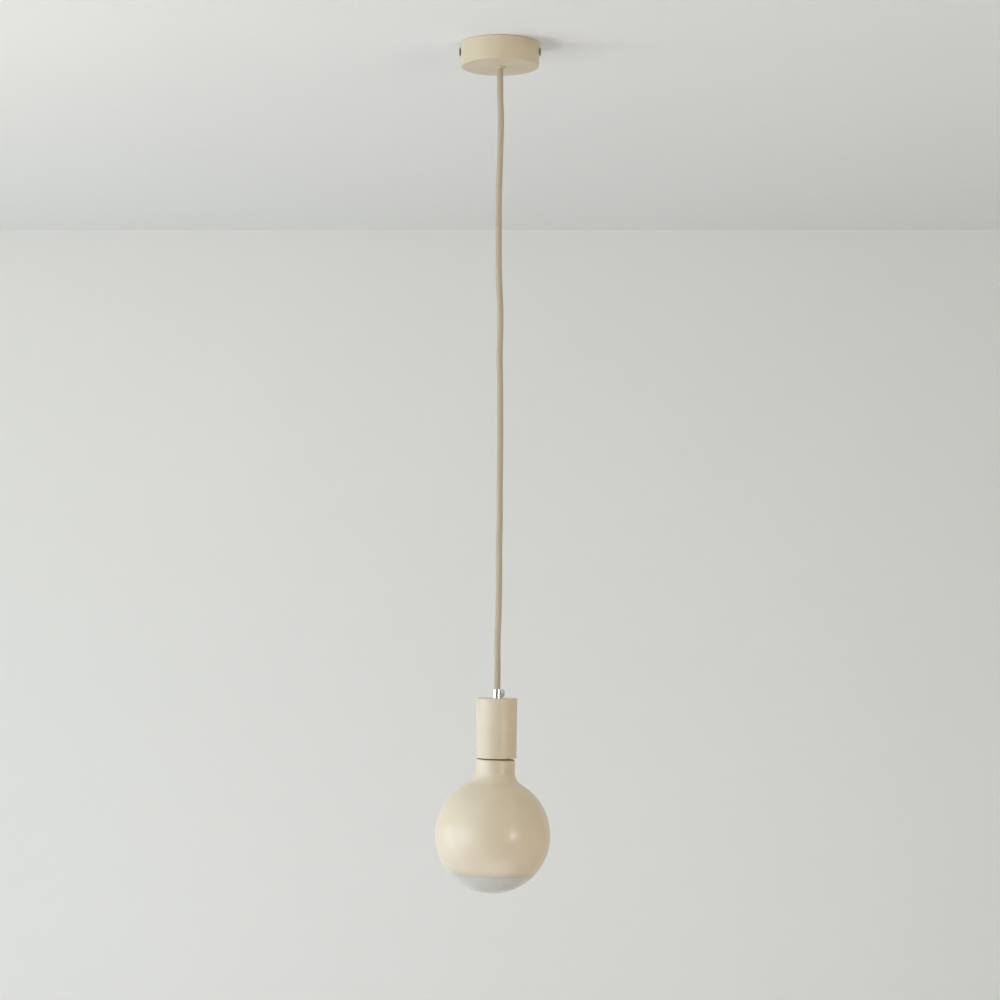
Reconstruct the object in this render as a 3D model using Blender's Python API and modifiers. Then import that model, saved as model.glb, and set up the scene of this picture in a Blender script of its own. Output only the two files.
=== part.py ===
"""Pendant light with a ceiling cup, a textile cord, a metal holder cup and a globe bulb.

The ceiling is the plane z = 0 and the lamp hangs below it. Lengths are in metres.
The holder hangs a little out of plumb, so its pieces are children of an empty on the
holder's axis. In that empty's frame the top of the holder cup is z = 0.
"""

import math

import bmesh
import bpy
import numpy as np
from mathutils import Matrix, Vector

# Clearances
SEAT_GAP = 0.0003
BORE_CLEARANCE = 0.0003
THREAD_CLEARANCE = 0.0005
WALL_CLEARANCE = 0.0004

# Cord and its cores
CORD_RADIUS = 0.0035
CORE_RADIUS = 0.00095
CORE_RING_RADIUS = 0.0018

# Ceiling cup
CUP_RADIUS = 0.043
CUP_HEIGHT = 0.0257
CUP_WALL = 0.001
CUP_EDGE_RADIUS = 0.0015

# Mounting bracket inside the cup
BRACKET_THICKNESS = 0.0018
BRACKET_WIDTH = 0.014
BRACKET_BEND_RADIUS = 0.0026
EAR_DROP = 0.015
SLOT_CENTRE = 0.027
SLOT_LENGTH = 0.012
SLOT_WIDTH = 0.0052

# Side screws of the cup
SIDE_SCREW_DEPTH = 0.0088
SIDE_SCREW_RADIUS = 0.002
SIDE_SCREW_LENGTH = 0.0068
SIDE_HEAD_RADIUS = 0.005
SIDE_HEAD_HEIGHT = 0.0019
SIDE_SLOT_WIDTH = 0.001
SIDE_SLOT_DEPTH = 0.0007

# Earth screw on the bracket
EARTH_SCREW_X = 0.013
EARTH_SCREW_RADIUS = 0.002
EARTH_HEAD_RADIUS = 0.0042
EARTH_HEAD_HEIGHT = 0.0022
EARTH_CLAMP_SLACK = 0.0004

# Outlet bush in the cup's floor
BUSH_WALL = 0.0008
BUSH_COLLAR_HEIGHT = 0.0015
BUSH_COLLAR_LIP = 0.0008
BUSH_BARB_HEIGHT = 0.0017
BUSH_BARB_LIP = 0.0007

# Cord anchor above the bush
ANCHOR_WALL = 0.0032
ANCHOR_HEIGHT = 0.010
ANCHOR_EDGE = 0.0006
CORD_END_ABOVE_ANCHOR = 0.002
ANCHOR_SCREW_RADIUS = 0.0015
ANCHOR_HEAD_RADIUS = 0.0026
ANCHOR_HEAD_HEIGHT = 0.0018

# Terminal block on the cup's floor
POLE_COUNT = 3
POLE_PITCH = 0.0085
BLOCK_WALL_ROOM = 0.008
BLOCK_DEPTH = 0.016
BLOCK_HEIGHT = 0.0125
BLOCK_END_WALL = 0.001
BLOCK_EDGE = 0.0005
INSERT_RADIUS = 0.0023
INSERT_BORE_RADIUS = 0.0015
INSERT_RECESS = 0.0015
POLE_HEIGHT = 0.0052
BLOCK_SCREW_RADIUS = 0.0014
BLOCK_SCREW_RECESS = 0.001
BLOCK_SCREW_SPACING = 0.0062

# Cord grip on top of the holder
GRIP_WALL = 0.00075
GRIP_LENGTH = 0.0097
GRIP_FLANGE_RADIUS = 0.006
GRIP_FLANGE_HEIGHT = 0.0008
SHANK_WALL = 0.0011
SHANK_END = 0.009
CORD_END_IN_HOLDER = 0.011
GRIP_SCREW_DEPTH = 0.0055
GRIP_SCREW_RADIUS = 0.001
GRIP_HEAD_RADIUS = 0.0044
GRIP_HEAD_HEIGHT = 0.0037
GRIP_SCREW_SLOT = 0.0009

# Holder cup and how it hangs
HOLDER_AXIS_X = -0.0033
HOLDER_TOP_DROP = 0.7175
HOLDER_LEAN = math.radians(1.0)
SHELL_RADIUS = 0.0222
SHELL_HEIGHT = 0.0648
SHELL_WALL = 0.001
SHELL_EDGE_RADIUS = 0.0013
SHELL_RIM_CHAMFER = 0.0003

# Earth tag and clamping nut
TAG_THICKNESS = 0.0005
TAG_RING_WIDTH = 0.0026
TAG_TAIL_REACH = 0.012
TAG_TAIL_WIDTH = 0.004
NUT_THICKNESS = 0.003
NUT_WALL = 0.0018

# Moulded dome, ceramic carrier and sleeve
DOME_TOP_WALL = 0.0025
DOME_WALL = 0.0019
DOME_CORNER_RADIUS = 0.008
SPIGOT_WALL = 0.001
SPIGOT_HEIGHT = 0.006
CARRIER_RADIUS = 0.016
CARRIER_DISC_HEIGHT = 0.012
CARRIER_RIM_WALL = 0.0016
CARRIER_EDGE = 0.0004
SKIRT_RADIUS = 0.0185
SKIRT_BELOW_SHELL = 0.0004
SKIRT_LEAD_IN = 0.0008

# Terminals and contacts
TERMINAL_X = 0.0102
CLAMP_SIZE = (0.0054, 0.0064, 0.0074)
CLAMP_BORE_DEPTH = 0.005
CLAMP_SCREW_DEPTH = 0.0027
CLAMP_SCREW_RADIUS = 0.00125
CLAMP_HEAD_RADIUS = 0.0022
CLAMP_HEAD_HEIGHT = 0.0014
STRIP_THICKNESS = 0.0005
STRIP_WIDTH = 0.006
RIVET_RADIUS = 0.0012
RIVET_HEAD_RADIUS = 0.0022
RIVET_HEAD_HEIGHT = 0.001
LEAF_HALF_LENGTH = 0.0025
LEAF_TIP_REACH = 0.0045
LEAF_TIP_RISE = 0.0009
LEAF_BEND_X = 0.0065
CONTACT_ROOM = 0.0063

# Rolled Edison thread, shared by the bulb's cap and the screw shell
THREAD_PITCH = 0.00363
THREAD_MEAN_RADIUS = 0.01248
THREAD_AMPLITUDE = 0.00052
THREAD_LENGTH = 0.0184
THREAD_RUN_OUT = 0.0018
THREAD_ROWS_PER_TURN = 5
THREAD_SEGMENTS = 20
SCREW_SHELL_WALL = 0.0005
SCREW_SHELL_ABOVE_CAP = 0.003
SCREW_SHELL_FLANGE_RADIUS = 0.0159
SCREW_SHELL_RECESS = 0.0018

# Bulb
NECK_BELOW_SHELL = 0.0012
BULB_LEAN = math.radians(1.5)
GLOBE_RADIUS = 0.0625
NECK_RADIUS = 0.021
NECK_STRAIGHT = 0.013
NECK_SHOULDER_RADIUS = 0.0016
NECK_FILLET_RADIUS = 0.0157
FROST_EDGE_BELOW_CENTRE = 0.0407
STEM_RADIUS = 0.0102
STEM_HEIGHT = 0.009
STEM_CLEARANCE = 0.0007
CAP_LENGTH = 0.0265
CAP_COLLAR_HEIGHT = 0.0016
CAP_COLLAR_RADIUS = 0.0132
CAP_SEAT_GAP = 0.00065
CAP_TOP_RADIUS = 0.0096
CAP_SHOULDER_HEIGHT = 0.0021
INSULATOR_RADIUS = 0.0092
INSULATOR_TOP_RADIUS = 0.006
INSULATOR_RIM = 0.0005
BUTTON_RADIUS = 0.0048
BUTTON_HEIGHT = 0.00095

# Route of the leads in the cup: shares of the way aside, to the block, and down to the poles
UPPER_LEAD_ROUTE = ((0.25, 0.12, 0.0), (0.7, 0.42, 0.2), (1.0, 0.74, 0.58), (1.0, 0.93, 0.94))

# Route of the leads in the holder: shares of the way to the terminal and of the drop
LOWER_LEAD_ROUTE = ((0.47, 0.5), (0.84, 0.68), (1.0, 0.93))
LOWER_EARTH_ROUTE = ((0.5, 0.41), (0.84, 0.21))
FIRST_DROP_SHARE = 0.21

# Route of the bond lead round the cup: share of its wall run, degrees from the back
BOND_WALL_ROOM = 0.004
BOND_ROUTE = ((1.0, 5.0), (1.0, 17.5), (0.93, 35.0), (0.85, 52.0), (0.68, 66.0))
BOND_DROPS = (0.97, 0.89, 0.68, 0.34, 0.12)

# Route of the cord between the cup and the grip: how far below the ceiling, how far aside
CORD_ROUTE = (
    (0.0589, 0.0002), (0.0853, 0.0010), (0.1177, 0.0001), (0.1422, -0.0006), (0.1668, -0.0014),
    (0.1962, -0.0016), (0.2354, -0.0015), (0.2629, -0.0011), (0.2894, 0.0001), (0.3139, 0.0002),
    (0.3463, -0.0005), (0.3728, -0.0001), (0.4316, 0.0001), (0.4905, -0.0004),
    (0.5199, -0.0004), (0.5494, -0.0011), (0.5788, -0.0011), (0.6033, -0.0013),
    (0.6278, -0.0018), (0.6573, -0.0029), (0.6867, -0.0028),
)
CORD_POINT_SPACING = 3.0

# How finely round forms are cut
SEGMENTS_LARGE = 40
SEGMENTS_GLOBE = 36
SEGMENTS_MEDIUM = 24
SEGMENTS_SMALL = 12
ARC_STEPS = 4
GLOBE_ARC_STEPS = 15
CURVE_SAMPLES = 24
MERGE_DISTANCE = 0.00001
OVERCUT = 0.001
SMOOTH_ANGLE = math.radians(35)

# Heights in the ceiling cup that several pieces share
CORD_BORE = CORD_RADIUS + BORE_CLEARANCE
CUP_FLOOR = -CUP_HEIGHT + CUP_WALL
BUSH_SHANK_RADIUS = CORD_BORE + BUSH_WALL
BUSH_TOP = CUP_FLOOR + SEAT_GAP + BUSH_BARB_HEIGHT
BUSH_BOTTOM = -CUP_HEIGHT - SEAT_GAP - BUSH_COLLAR_HEIGHT
ANCHOR_BOTTOM = BUSH_TOP + SEAT_GAP
ANCHOR_TOP = ANCHOR_BOTTOM + ANCHOR_HEIGHT
CORD_TOP = ANCHOR_TOP + CORD_END_ABOVE_ANCHOR
BLOCK_BACK = CUP_RADIUS - CUP_WALL - BLOCK_WALL_ROOM
BLOCK_FRONT = BLOCK_BACK - BLOCK_DEPTH
BLOCK_BOTTOM = CUP_FLOOR + SEAT_GAP
BLOCK_TOP = BLOCK_BOTTOM + BLOCK_HEIGHT
POLE_Z = BLOCK_BOTTOM + POLE_HEIGHT

# Heights in the holder's frame that several pieces share
GRIP_BORE = CORD_BORE
SHANK_RADIUS = GRIP_BORE + SHANK_WALL
SHANK_HOLE_RADIUS = SHANK_RADIUS + BORE_CLEARANCE
DOME_TOP = -SHELL_WALL - SEAT_GAP
DOME_CEILING = DOME_TOP - DOME_TOP_WALL
TAG_TOP = DOME_CEILING - SEAT_GAP
NUT_TOP = TAG_TOP - TAG_THICKNESS - SEAT_GAP
SKIRT_BOTTOM = -SHELL_HEIGHT - SKIRT_BELOW_SHELL
NECK_TOP = -SHELL_HEIGHT - NECK_BELOW_SHELL
CAP_RIM = NECK_TOP + CAP_SEAT_GAP
CAP_TIP = CAP_RIM + CAP_LENGTH
CAP_THREAD_BOTTOM = CAP_RIM + CAP_COLLAR_HEIGHT
CAP_THREAD_TOP = CAP_THREAD_BOTTOM + THREAD_LENGTH
CAP_TOP = CAP_THREAD_TOP + CAP_SHOULDER_HEIGHT
SCREW_SHELL_TOP = CAP_THREAD_TOP + SCREW_SHELL_ABOVE_CAP
SCREW_SHELL_BOTTOM = SKIRT_BOTTOM + SCREW_SHELL_RECESS
SKIRT_LEDGE = SCREW_SHELL_TOP - SCREW_SHELL_WALL - SEAT_GAP
CARRIER_RIM_BOTTOM = SCREW_SHELL_TOP + SEAT_GAP
CARRIER_DISC_BOTTOM = CAP_TIP + CONTACT_ROOM
CARRIER_TOP = CARRIER_DISC_BOTTOM + CARRIER_DISC_HEIGHT
STRIP_TOP = CARRIER_DISC_BOTTOM - SEAT_GAP
CLAMP_TOP = CARRIER_TOP - SEAT_GAP
CLAMP_BOTTOM = CLAMP_TOP - CLAMP_SIZE[2]
NOTCH_FLOOR = CLAMP_BOTTOM - SEAT_GAP
SKIRT_BORE = CARRIER_RADIUS + BORE_CLEARANCE
SPIGOT_RADIUS = SKIRT_BORE + SPIGOT_WALL
DOME_BORE = SPIGOT_RADIUS + BORE_CLEARANCE
DOME_RADIUS = DOME_BORE + DOME_WALL
DOME_BOTTOM = CARRIER_TOP + 2 * SEAT_GAP + SPIGOT_HEIGHT / 4
SPIGOT_TOP = DOME_BOTTOM + SPIGOT_HEIGHT
GLOBE_CENTRE_DROP = NECK_STRAIGHT + math.sqrt(
    (GLOBE_RADIUS + NECK_FILLET_RADIUS) ** 2 - (NECK_RADIUS + NECK_FILLET_RADIUS) ** 2
)


def fresh_collection(name):
    """Return an empty collection in the scene."""
    old = bpy.data.collections.get(name)
    if old:
        bpy.data.collections.remove(old)
    collection = bpy.data.collections.new(name)
    bpy.context.scene.collection.children.link(collection)
    return collection


for leftover in list(bpy.data.objects):
    bpy.data.objects.remove(leftover, do_unlink=True)

PARTS = fresh_collection("pendant_light")
CUTTERS = fresh_collection("cutters")


def finish(name, colour, roughness, metallic=0.0):
    """Make one Principled material."""
    material = bpy.data.materials.new(name)
    material.use_nodes = True
    shader = material.node_tree.nodes["Principled BSDF"]
    shader.inputs["Base Color"].default_value = (*colour, 1.0)
    shader.inputs["Roughness"].default_value = roughness
    shader.inputs["Metallic"].default_value = metallic
    material.diffuse_color = (*colour, 1.0)
    return material


BEIGE_PAINT = finish("beige_paint", (0.66, 0.57, 0.42), 0.45)
BULB_PAINT = finish("bulb_paint", (0.66, 0.57, 0.42), 0.32)
FROSTED_GLASS = finish("frosted_glass", (0.55, 0.54, 0.50), 0.4)
TEXTILE = finish("beige_textile", (0.60, 0.50, 0.36), 0.85)
CREAM_NYLON = finish("cream_nylon", (0.74, 0.67, 0.55), 0.4)
POLISHED_STEEL = finish("polished_steel", (0.62, 0.62, 0.60), 0.12, 1.0)
DARK_NICKEL = finish("dark_nickel", (0.24, 0.21, 0.17), 0.3, 1.0)
ZINC_STEEL = finish("zinc_steel", (0.52, 0.53, 0.54), 0.35, 1.0)
BRASS = finish("brass", (0.72, 0.52, 0.22), 0.3, 1.0)
BLACK_MOULDING = finish("black_moulding", (0.018, 0.017, 0.016), 0.4)
CERAMIC = finish("ceramic", (0.78, 0.76, 0.71), 0.25)
WHITE_NYLON = finish("white_nylon", (0.75, 0.75, 0.73), 0.4)
CAP_METAL = finish("cap_metal", (0.60, 0.60, 0.58), 0.3, 1.0)
BLACK_GLASS = finish("black_glass", (0.015, 0.012, 0.02), 0.08)
BROWN_PVC = finish("brown_pvc", (0.13, 0.05, 0.02), 0.4)
BLUE_PVC = finish("blue_pvc", (0.02, 0.10, 0.42), 0.4)
EARTH_PVC = finish("earth_pvc", (0.24, 0.48, 0.05), 0.4)


def add_part(name, data, material, parent=None):
    """Link one sub-part and give it its material."""
    part = bpy.data.objects.new(name, data)
    data.materials.append(material)
    part.parent = parent
    PARTS.objects.link(part)
    return part


def add_frame(name, location, lean, parent=None):
    """An empty that carries pieces which lean together about Y."""
    empty = bpy.data.objects.new(name, None)
    empty.location = location
    empty.rotation_euler = (0.0, lean, 0.0)
    empty.parent = parent
    PARTS.objects.link(empty)
    return empty


def arc(centre, radius, start, end, steps=ARC_STEPS):
    """Points on an arc in the (radius, height) plane, angles in degrees from +X."""
    angles = np.radians(np.linspace(start, end, steps + 1))
    return [(centre[0] + radius * math.cos(a), centre[1] + radius * math.sin(a)) for a in angles]


def baked(part):
    """Replace a part's mesh by its evaluated one, smooth except at sharp edges."""
    bpy.context.view_layer.update()
    evaluated = part.evaluated_get(bpy.context.evaluated_depsgraph_get())
    mesh = bpy.data.meshes.new_from_object(evaluated)
    part.modifiers.clear()
    part.data = mesh
    mesh.shade_smooth()
    mesh.set_sharp_from_angle(angle=SMOOTH_ANGLE)
    return part


def turned(name, profile, material, parent=None, segments=SEGMENTS_MEDIUM):
    """Turn a profile of (radius, height) points about Z.

    The profile runs down the outer side. It either starts and ends on the axis,
    or is the closed section of a ring.
    """
    mesh = bpy.data.meshes.new(name)
    points = [(radius, 0.0, height) for radius, height in profile]
    edges = [(i, i + 1) for i in range(len(points) - 1)]
    if max(profile[0][0], profile[-1][0]) > 0:
        edges.append((len(points) - 1, 0))
    mesh.from_pydata(points, edges, [])
    part = add_part(name, mesh, material, parent)
    lathe = part.modifiers.new("lathe", "SCREW")
    lathe.axis = "Z"
    lathe.angle = math.tau
    lathe.steps = segments
    lathe.render_steps = segments
    lathe.use_merge_vertices = True
    lathe.merge_threshold = MERGE_DISTANCE
    return baked(part)


def use_cutter(target, mesh, matrix):
    """Subtract a mesh, placed in the frame of the target's parent."""
    cutter = bpy.data.objects.new(f"{target.name}_cutter_{len(target.modifiers) + 1}", mesh)
    cutter.parent = target.parent
    cutter.matrix_local = matrix
    cutter.display_type = "WIRE"
    cutter.hide_render = True
    CUTTERS.objects.link(cutter)
    boolean = target.modifiers.new("cut", "BOOLEAN")
    boolean.operation = "DIFFERENCE"
    boolean.solver = "EXACT"
    boolean.object = cutter


def drill(target, radius, start, end, segments=SEGMENTS_SMALL):
    """Cut a round hole between two points in the frame of the target's parent."""
    start, end = Vector(start), Vector(end)
    mesh = bpy.data.meshes.new("drill")
    work = bmesh.new()
    bmesh.ops.create_cone(work, cap_ends=True, segments=segments, radius1=radius,
                          radius2=radius, depth=(end - start).length)
    work.to_mesh(mesh)
    work.free()
    turn = (end - start).to_track_quat("Z", "Y").to_matrix().to_4x4()
    use_cutter(target, mesh, Matrix.Translation((start + end) / 2) @ turn)


def box_mesh(name, low, high):
    """A box between two corners."""
    low, high = Vector(low), Vector(high)
    mesh = bpy.data.meshes.new(name)
    work = bmesh.new()
    size = Matrix.Diagonal((*(high - low), 1.0))
    bmesh.ops.create_cube(work, size=1.0, matrix=Matrix.Translation((low + high) / 2) @ size)
    work.to_mesh(mesh)
    work.free()
    return mesh


def mill(target, low, high):
    """Cut a box between two corners in the frame of the target's parent."""
    use_cutter(target, box_mesh("mill", low, high), Matrix.Identity(4))


def block(name, low, high, material, parent=None, edge=0.0):
    """A box part, with chamfered edges if an edge width is given."""
    part = add_part(name, box_mesh(name, low, high), material, parent)
    if edge > 0:
        bevel = part.modifiers.new("edges", "BEVEL")
        bevel.width = edge
        bevel.segments = 1
    return part


def screw(name, place, direction, material, head_radius, head_height, radius, length,
          slot_width, slot_depth, parent=None, domed=False):
    """A slotted screw with its head's underside at place and its head towards direction."""
    if domed:
        rise = head_height - slot_depth
        crown = [(head_radius * math.sin(a), slot_depth + rise * math.cos(a))
                 for a in np.linspace(0, math.pi / 2, ARC_STEPS + 1)]
        crown[0] = (0.0, head_height)
    else:
        crown = [(0.0, head_height), (head_radius, head_height)]
    profile = crown + [(head_radius, 0.0), (radius, 0.0), (radius, -length), (0.0, -length)]
    part = turned(name, profile, material, None, SEGMENTS_SMALL)
    turn = Vector(direction).to_track_quat("Z", "Y").to_matrix().to_4x4()
    matrix = Matrix.Translation(place) @ turn
    part.data.transform(matrix)
    part.parent = parent
    side = head_radius + OVERCUT
    slot = box_mesh("slot", (-side, -slot_width / 2, head_height - slot_depth),
                    (side, slot_width / 2, head_height + OVERCUT))
    use_cutter(part, slot, matrix)
    return part


def flat_plate(name, outline, hole_radius, hole_sides, top, thickness, material, parent=None):
    """A flat stamping: a filled 2D outline with one round hole at its origin."""
    curve = bpy.data.curves.new(name, "CURVE")
    curve.dimensions = "2D"
    curve.fill_mode = "BOTH"
    curve.extrude = thickness / 2
    angles = np.linspace(0, math.tau, hole_sides, endpoint=False)
    hole = [(hole_radius * math.cos(a), hole_radius * math.sin(a)) for a in angles]
    for loop in (outline, hole):
        spline = curve.splines.new("POLY")
        spline.points.add(len(loop) - 1)
        for point, (x, y) in zip(spline.points, loop):
            point.co = (x, y, 0.0, 1.0)
        spline.use_cyclic_u = True
    part = add_part(name, curve, material, parent)
    part.location = (0.0, 0.0, top - thickness / 2)
    return part


def bent_strip(name, path, width, thickness, material, parent=None):
    """A sheet strip that follows a path in the XZ plane, with its thickness on the left."""
    mesh = bpy.data.meshes.new(name)
    work = bmesh.new()
    rows = [[work.verts.new((x, y, z)) for y in (-width / 2, width / 2)] for x, z in path]
    for before, after in zip(rows, rows[1:]):
        work.faces.new((before[0], before[1], after[1], after[0]))
    work.to_mesh(mesh)
    work.free()
    part = add_part(name, mesh, material, parent)
    sheet = part.modifiers.new("sheet", "SOLIDIFY")
    sheet.thickness = thickness
    sheet.offset = -1.0
    sheet.use_even_offset = True
    return part


def smooth_route(knots, spacing):
    """Evenly spaced points on the smooth curve through the knots."""
    knots = np.array(knots, dtype=float)
    padded = np.vstack([2 * knots[0] - knots[1], knots, 2 * knots[-1] - knots[-2]])
    share = np.linspace(0, 1, CURVE_SAMPLES, endpoint=False)[:, None]
    pieces = []
    for a, b, c, d in zip(padded, padded[1:], padded[2:], padded[3:]):
        pieces.append(0.5 * (2 * b + (c - a) * share + (2 * a - 5 * b + 4 * c - d) * share ** 2
                             + (3 * b - a - 3 * c + d) * share ** 3))
    dense = np.vstack(pieces + [knots[-1:]])
    travelled = np.concatenate([[0.0], np.cumsum(np.linalg.norm(np.diff(dense, axis=0), axis=1))])
    marks = np.linspace(0, travelled[-1], max(2, round(travelled[-1] / spacing) + 1))
    return np.column_stack([np.interp(marks, travelled, dense[:, k]) for k in range(3)])


def tube(name, knots, radius, material, parent=None, spacing=2.5, resolution=2):
    """A round wire or cord along the smooth curve through the knots."""
    curve = bpy.data.curves.new(name, "CURVE")
    curve.dimensions = "3D"
    curve.bevel_depth = radius
    curve.bevel_resolution = resolution
    curve.use_fill_caps = True
    route = smooth_route(knots, spacing * 2 * radius)
    spline = curve.splines.new("POLY")
    spline.points.add(len(route) - 1)
    for point, place in zip(spline.points, route):
        point.co = (*place, 1.0)
    return add_part(name, curve, material, parent)


def thread_rows(top, bottom):
    """Heights of the rings that a threaded stretch is cut into, top to bottom."""
    count = math.ceil((top - bottom) / THREAD_PITCH * THREAD_ROWS_PER_TURN)
    return list(np.linspace(top, bottom, count + 1))


def roll_thread(part, radii, top, bottom):
    """Press the rolled thread into the rings of a turned part that have these radii.

    The radius swings by the amplitude with the cosine of height less angle. Near the
    top the swing fades into the root radius, and near the bottom into the crest.
    """
    for vertex in part.data.vertices:
        x, y, z = vertex.co
        radius = math.hypot(x, y)
        if not bottom - MERGE_DISTANCE <= z <= top + MERGE_DISTANCE:
            continue
        if min(abs(radius - r) for r in radii) > MERGE_DISTANCE:
            continue
        wave = math.cos(math.tau * z / THREAD_PITCH - math.atan2(y, x))
        near_top = top - z < z - bottom
        margin = min(top - z, z - bottom) / THREAD_RUN_OUT
        share = max(0.0, min(1.0, margin))
        swing = share * wave + (1.0 - share) * (-1.0 if near_top else 1.0)
        grown = (radius + THREAD_AMPLITUDE * swing) / radius
        vertex.co = (x * grown, y * grown, z)
    part.data.update()


def make_canopy():
    """Drawn cup, open towards the ceiling, with its outlet hole and two screw holes."""
    corner = (CUP_RADIUS - CUP_EDGE_RADIUS, -CUP_HEIGHT + CUP_EDGE_RADIUS)
    hole = BUSH_SHANK_RADIUS + BORE_CLEARANCE
    profile = [(CUP_RADIUS, 0.0)]
    profile += arc(corner, CUP_EDGE_RADIUS, 0, -90)
    profile += [(hole, -CUP_HEIGHT), (hole, CUP_FLOOR)]
    profile += arc(corner, CUP_EDGE_RADIUS - CUP_WALL, -90, 0, 2)
    profile += [(CUP_RADIUS - CUP_WALL, 0.0)]
    canopy = turned("canopy", profile, BEIGE_PAINT, segments=SEGMENTS_LARGE)
    for side in (-1, 1):
        drill(canopy, SIDE_SCREW_RADIUS + BORE_CLEARANCE,
              (side * (CUP_RADIUS - CUP_WALL - OVERCUT), 0, -SIDE_SCREW_DEPTH),
              (side * (CUP_RADIUS + OVERCUT), 0, -SIDE_SCREW_DEPTH))


def ear_face():
    """How far from the centre the outer faces of the bracket's ears stand."""
    inner = CUP_RADIUS - CUP_WALL
    return math.sqrt(inner ** 2 - (BRACKET_WIDTH / 2) ** 2) - WALL_CLEARANCE


def make_bracket():
    """Folded steel strap with two slots for ceiling screws and two drilled ears."""
    reach = ear_face()
    bend = BRACKET_BEND_RADIUS
    path = [(-reach, -EAR_DROP)]
    path += arc((-reach + bend, -bend), bend, 180, 90)
    path += arc((reach - bend, -bend), bend, 90, 0)
    path += [(reach, -EAR_DROP)]
    path.reverse()
    bracket = bent_strip("mounting_bracket", path, BRACKET_WIDTH, BRACKET_THICKNESS, ZINC_STEEL)
    straight = (SLOT_LENGTH - SLOT_WIDTH) / 2
    below = -BRACKET_THICKNESS - OVERCUT
    for side in (-1, 1):
        centre = side * SLOT_CENTRE
        make_slot(bracket, centre, straight, below)
        drill(bracket, SIDE_SCREW_RADIUS + BORE_CLEARANCE,
              (side * (reach - BRACKET_THICKNESS - OVERCUT), 0, -SIDE_SCREW_DEPTH),
              (side * (reach + OVERCUT), 0, -SIDE_SCREW_DEPTH))
    drill(bracket, EARTH_SCREW_RADIUS + BORE_CLEARANCE,
          (EARTH_SCREW_X, 0, below), (EARTH_SCREW_X, 0, OVERCUT))


def make_slot(bracket, centre, straight, below):
    """Cut one long hole with round ends through the strap."""
    curve = bpy.data.curves.new("slot", "CURVE")
    curve.dimensions = "2D"
    curve.fill_mode = "BOTH"
    curve.extrude = (OVERCUT - below) / 2
    outline = arc((straight, 0), SLOT_WIDTH / 2, -90, 90)
    outline += arc((-straight, 0), SLOT_WIDTH / 2, 90, 270)
    spline = curve.splines.new("POLY")
    spline.points.add(len(outline) - 1)
    for point, (x, y) in zip(spline.points, outline):
        point.co = (x, y, 0.0, 1.0)
    spline.use_cyclic_u = True
    guide = bpy.data.objects.new("slot_guide", curve)
    CUTTERS.objects.link(guide)
    bpy.context.view_layer.update()
    evaluated = guide.evaluated_get(bpy.context.evaluated_depsgraph_get())
    mesh = bpy.data.meshes.new_from_object(evaluated)
    work = bmesh.new()
    work.from_mesh(mesh)
    bmesh.ops.remove_doubles(work, verts=work.verts, dist=MERGE_DISTANCE)
    work.to_mesh(mesh)
    work.free()
    bpy.data.objects.remove(guide, do_unlink=True)
    use_cutter(bracket, mesh, Matrix.Translation((centre, 0, (OVERCUT + below) / 2)))


def make_side_screws():
    """The two screws that hold the cup to the bracket's ears."""
    for name, side in (("side_screw_left", -1), ("side_screw_right", 1)):
        screw(name, (side * (CUP_RADIUS + SEAT_GAP), 0, -SIDE_SCREW_DEPTH), (side, 0, 0),
              DARK_NICKEL, SIDE_HEAD_RADIUS, SIDE_HEAD_HEIGHT, SIDE_SCREW_RADIUS,
              SIDE_SCREW_LENGTH, SIDE_SLOT_WIDTH, SIDE_SLOT_DEPTH, domed=True)


def earth_clamp_height():
    """Height of the bond lead's centre where the earth screw clamps it."""
    return -BRACKET_THICKNESS - EARTH_CLAMP_SLACK - CORE_RADIUS


def make_earth_screw():
    """Screw from below into the strap, with room for the bond lead under its head."""
    underside = earth_clamp_height() - CORE_RADIUS - EARTH_CLAMP_SLACK
    screw("earth_screw", (EARTH_SCREW_X, 0, underside), (0, 0, -1), ZINC_STEEL,
          EARTH_HEAD_RADIUS, EARTH_HEAD_HEIGHT, EARTH_SCREW_RADIUS,
          -underside - SEAT_GAP, SIDE_SLOT_WIDTH, SIDE_SLOT_DEPTH)


def make_outlet_bush():
    """Snap-in collar that guards the cord in the cup's floor."""
    profile = [
        (CORD_BORE, BUSH_TOP),
        (BUSH_SHANK_RADIUS, BUSH_TOP),
        (BUSH_SHANK_RADIUS + BUSH_BARB_LIP, CUP_FLOOR + SEAT_GAP + BUSH_BARB_LIP),
        (BUSH_SHANK_RADIUS + BUSH_BARB_LIP, CUP_FLOOR + SEAT_GAP),
        (BUSH_SHANK_RADIUS, CUP_FLOOR + SEAT_GAP),
        (BUSH_SHANK_RADIUS, -CUP_HEIGHT - SEAT_GAP),
        (BUSH_SHANK_RADIUS + BUSH_COLLAR_LIP, -CUP_HEIGHT - SEAT_GAP),
        (BUSH_SHANK_RADIUS + BUSH_COLLAR_LIP, BUSH_BOTTOM + BUSH_COLLAR_LIP / 2),
        (BUSH_SHANK_RADIUS + BUSH_COLLAR_LIP / 2, BUSH_BOTTOM),
        (CORD_BORE, BUSH_BOTTOM),
    ]
    turned("outlet_bush", profile, CREAM_NYLON, segments=SEGMENTS_MEDIUM)


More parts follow.
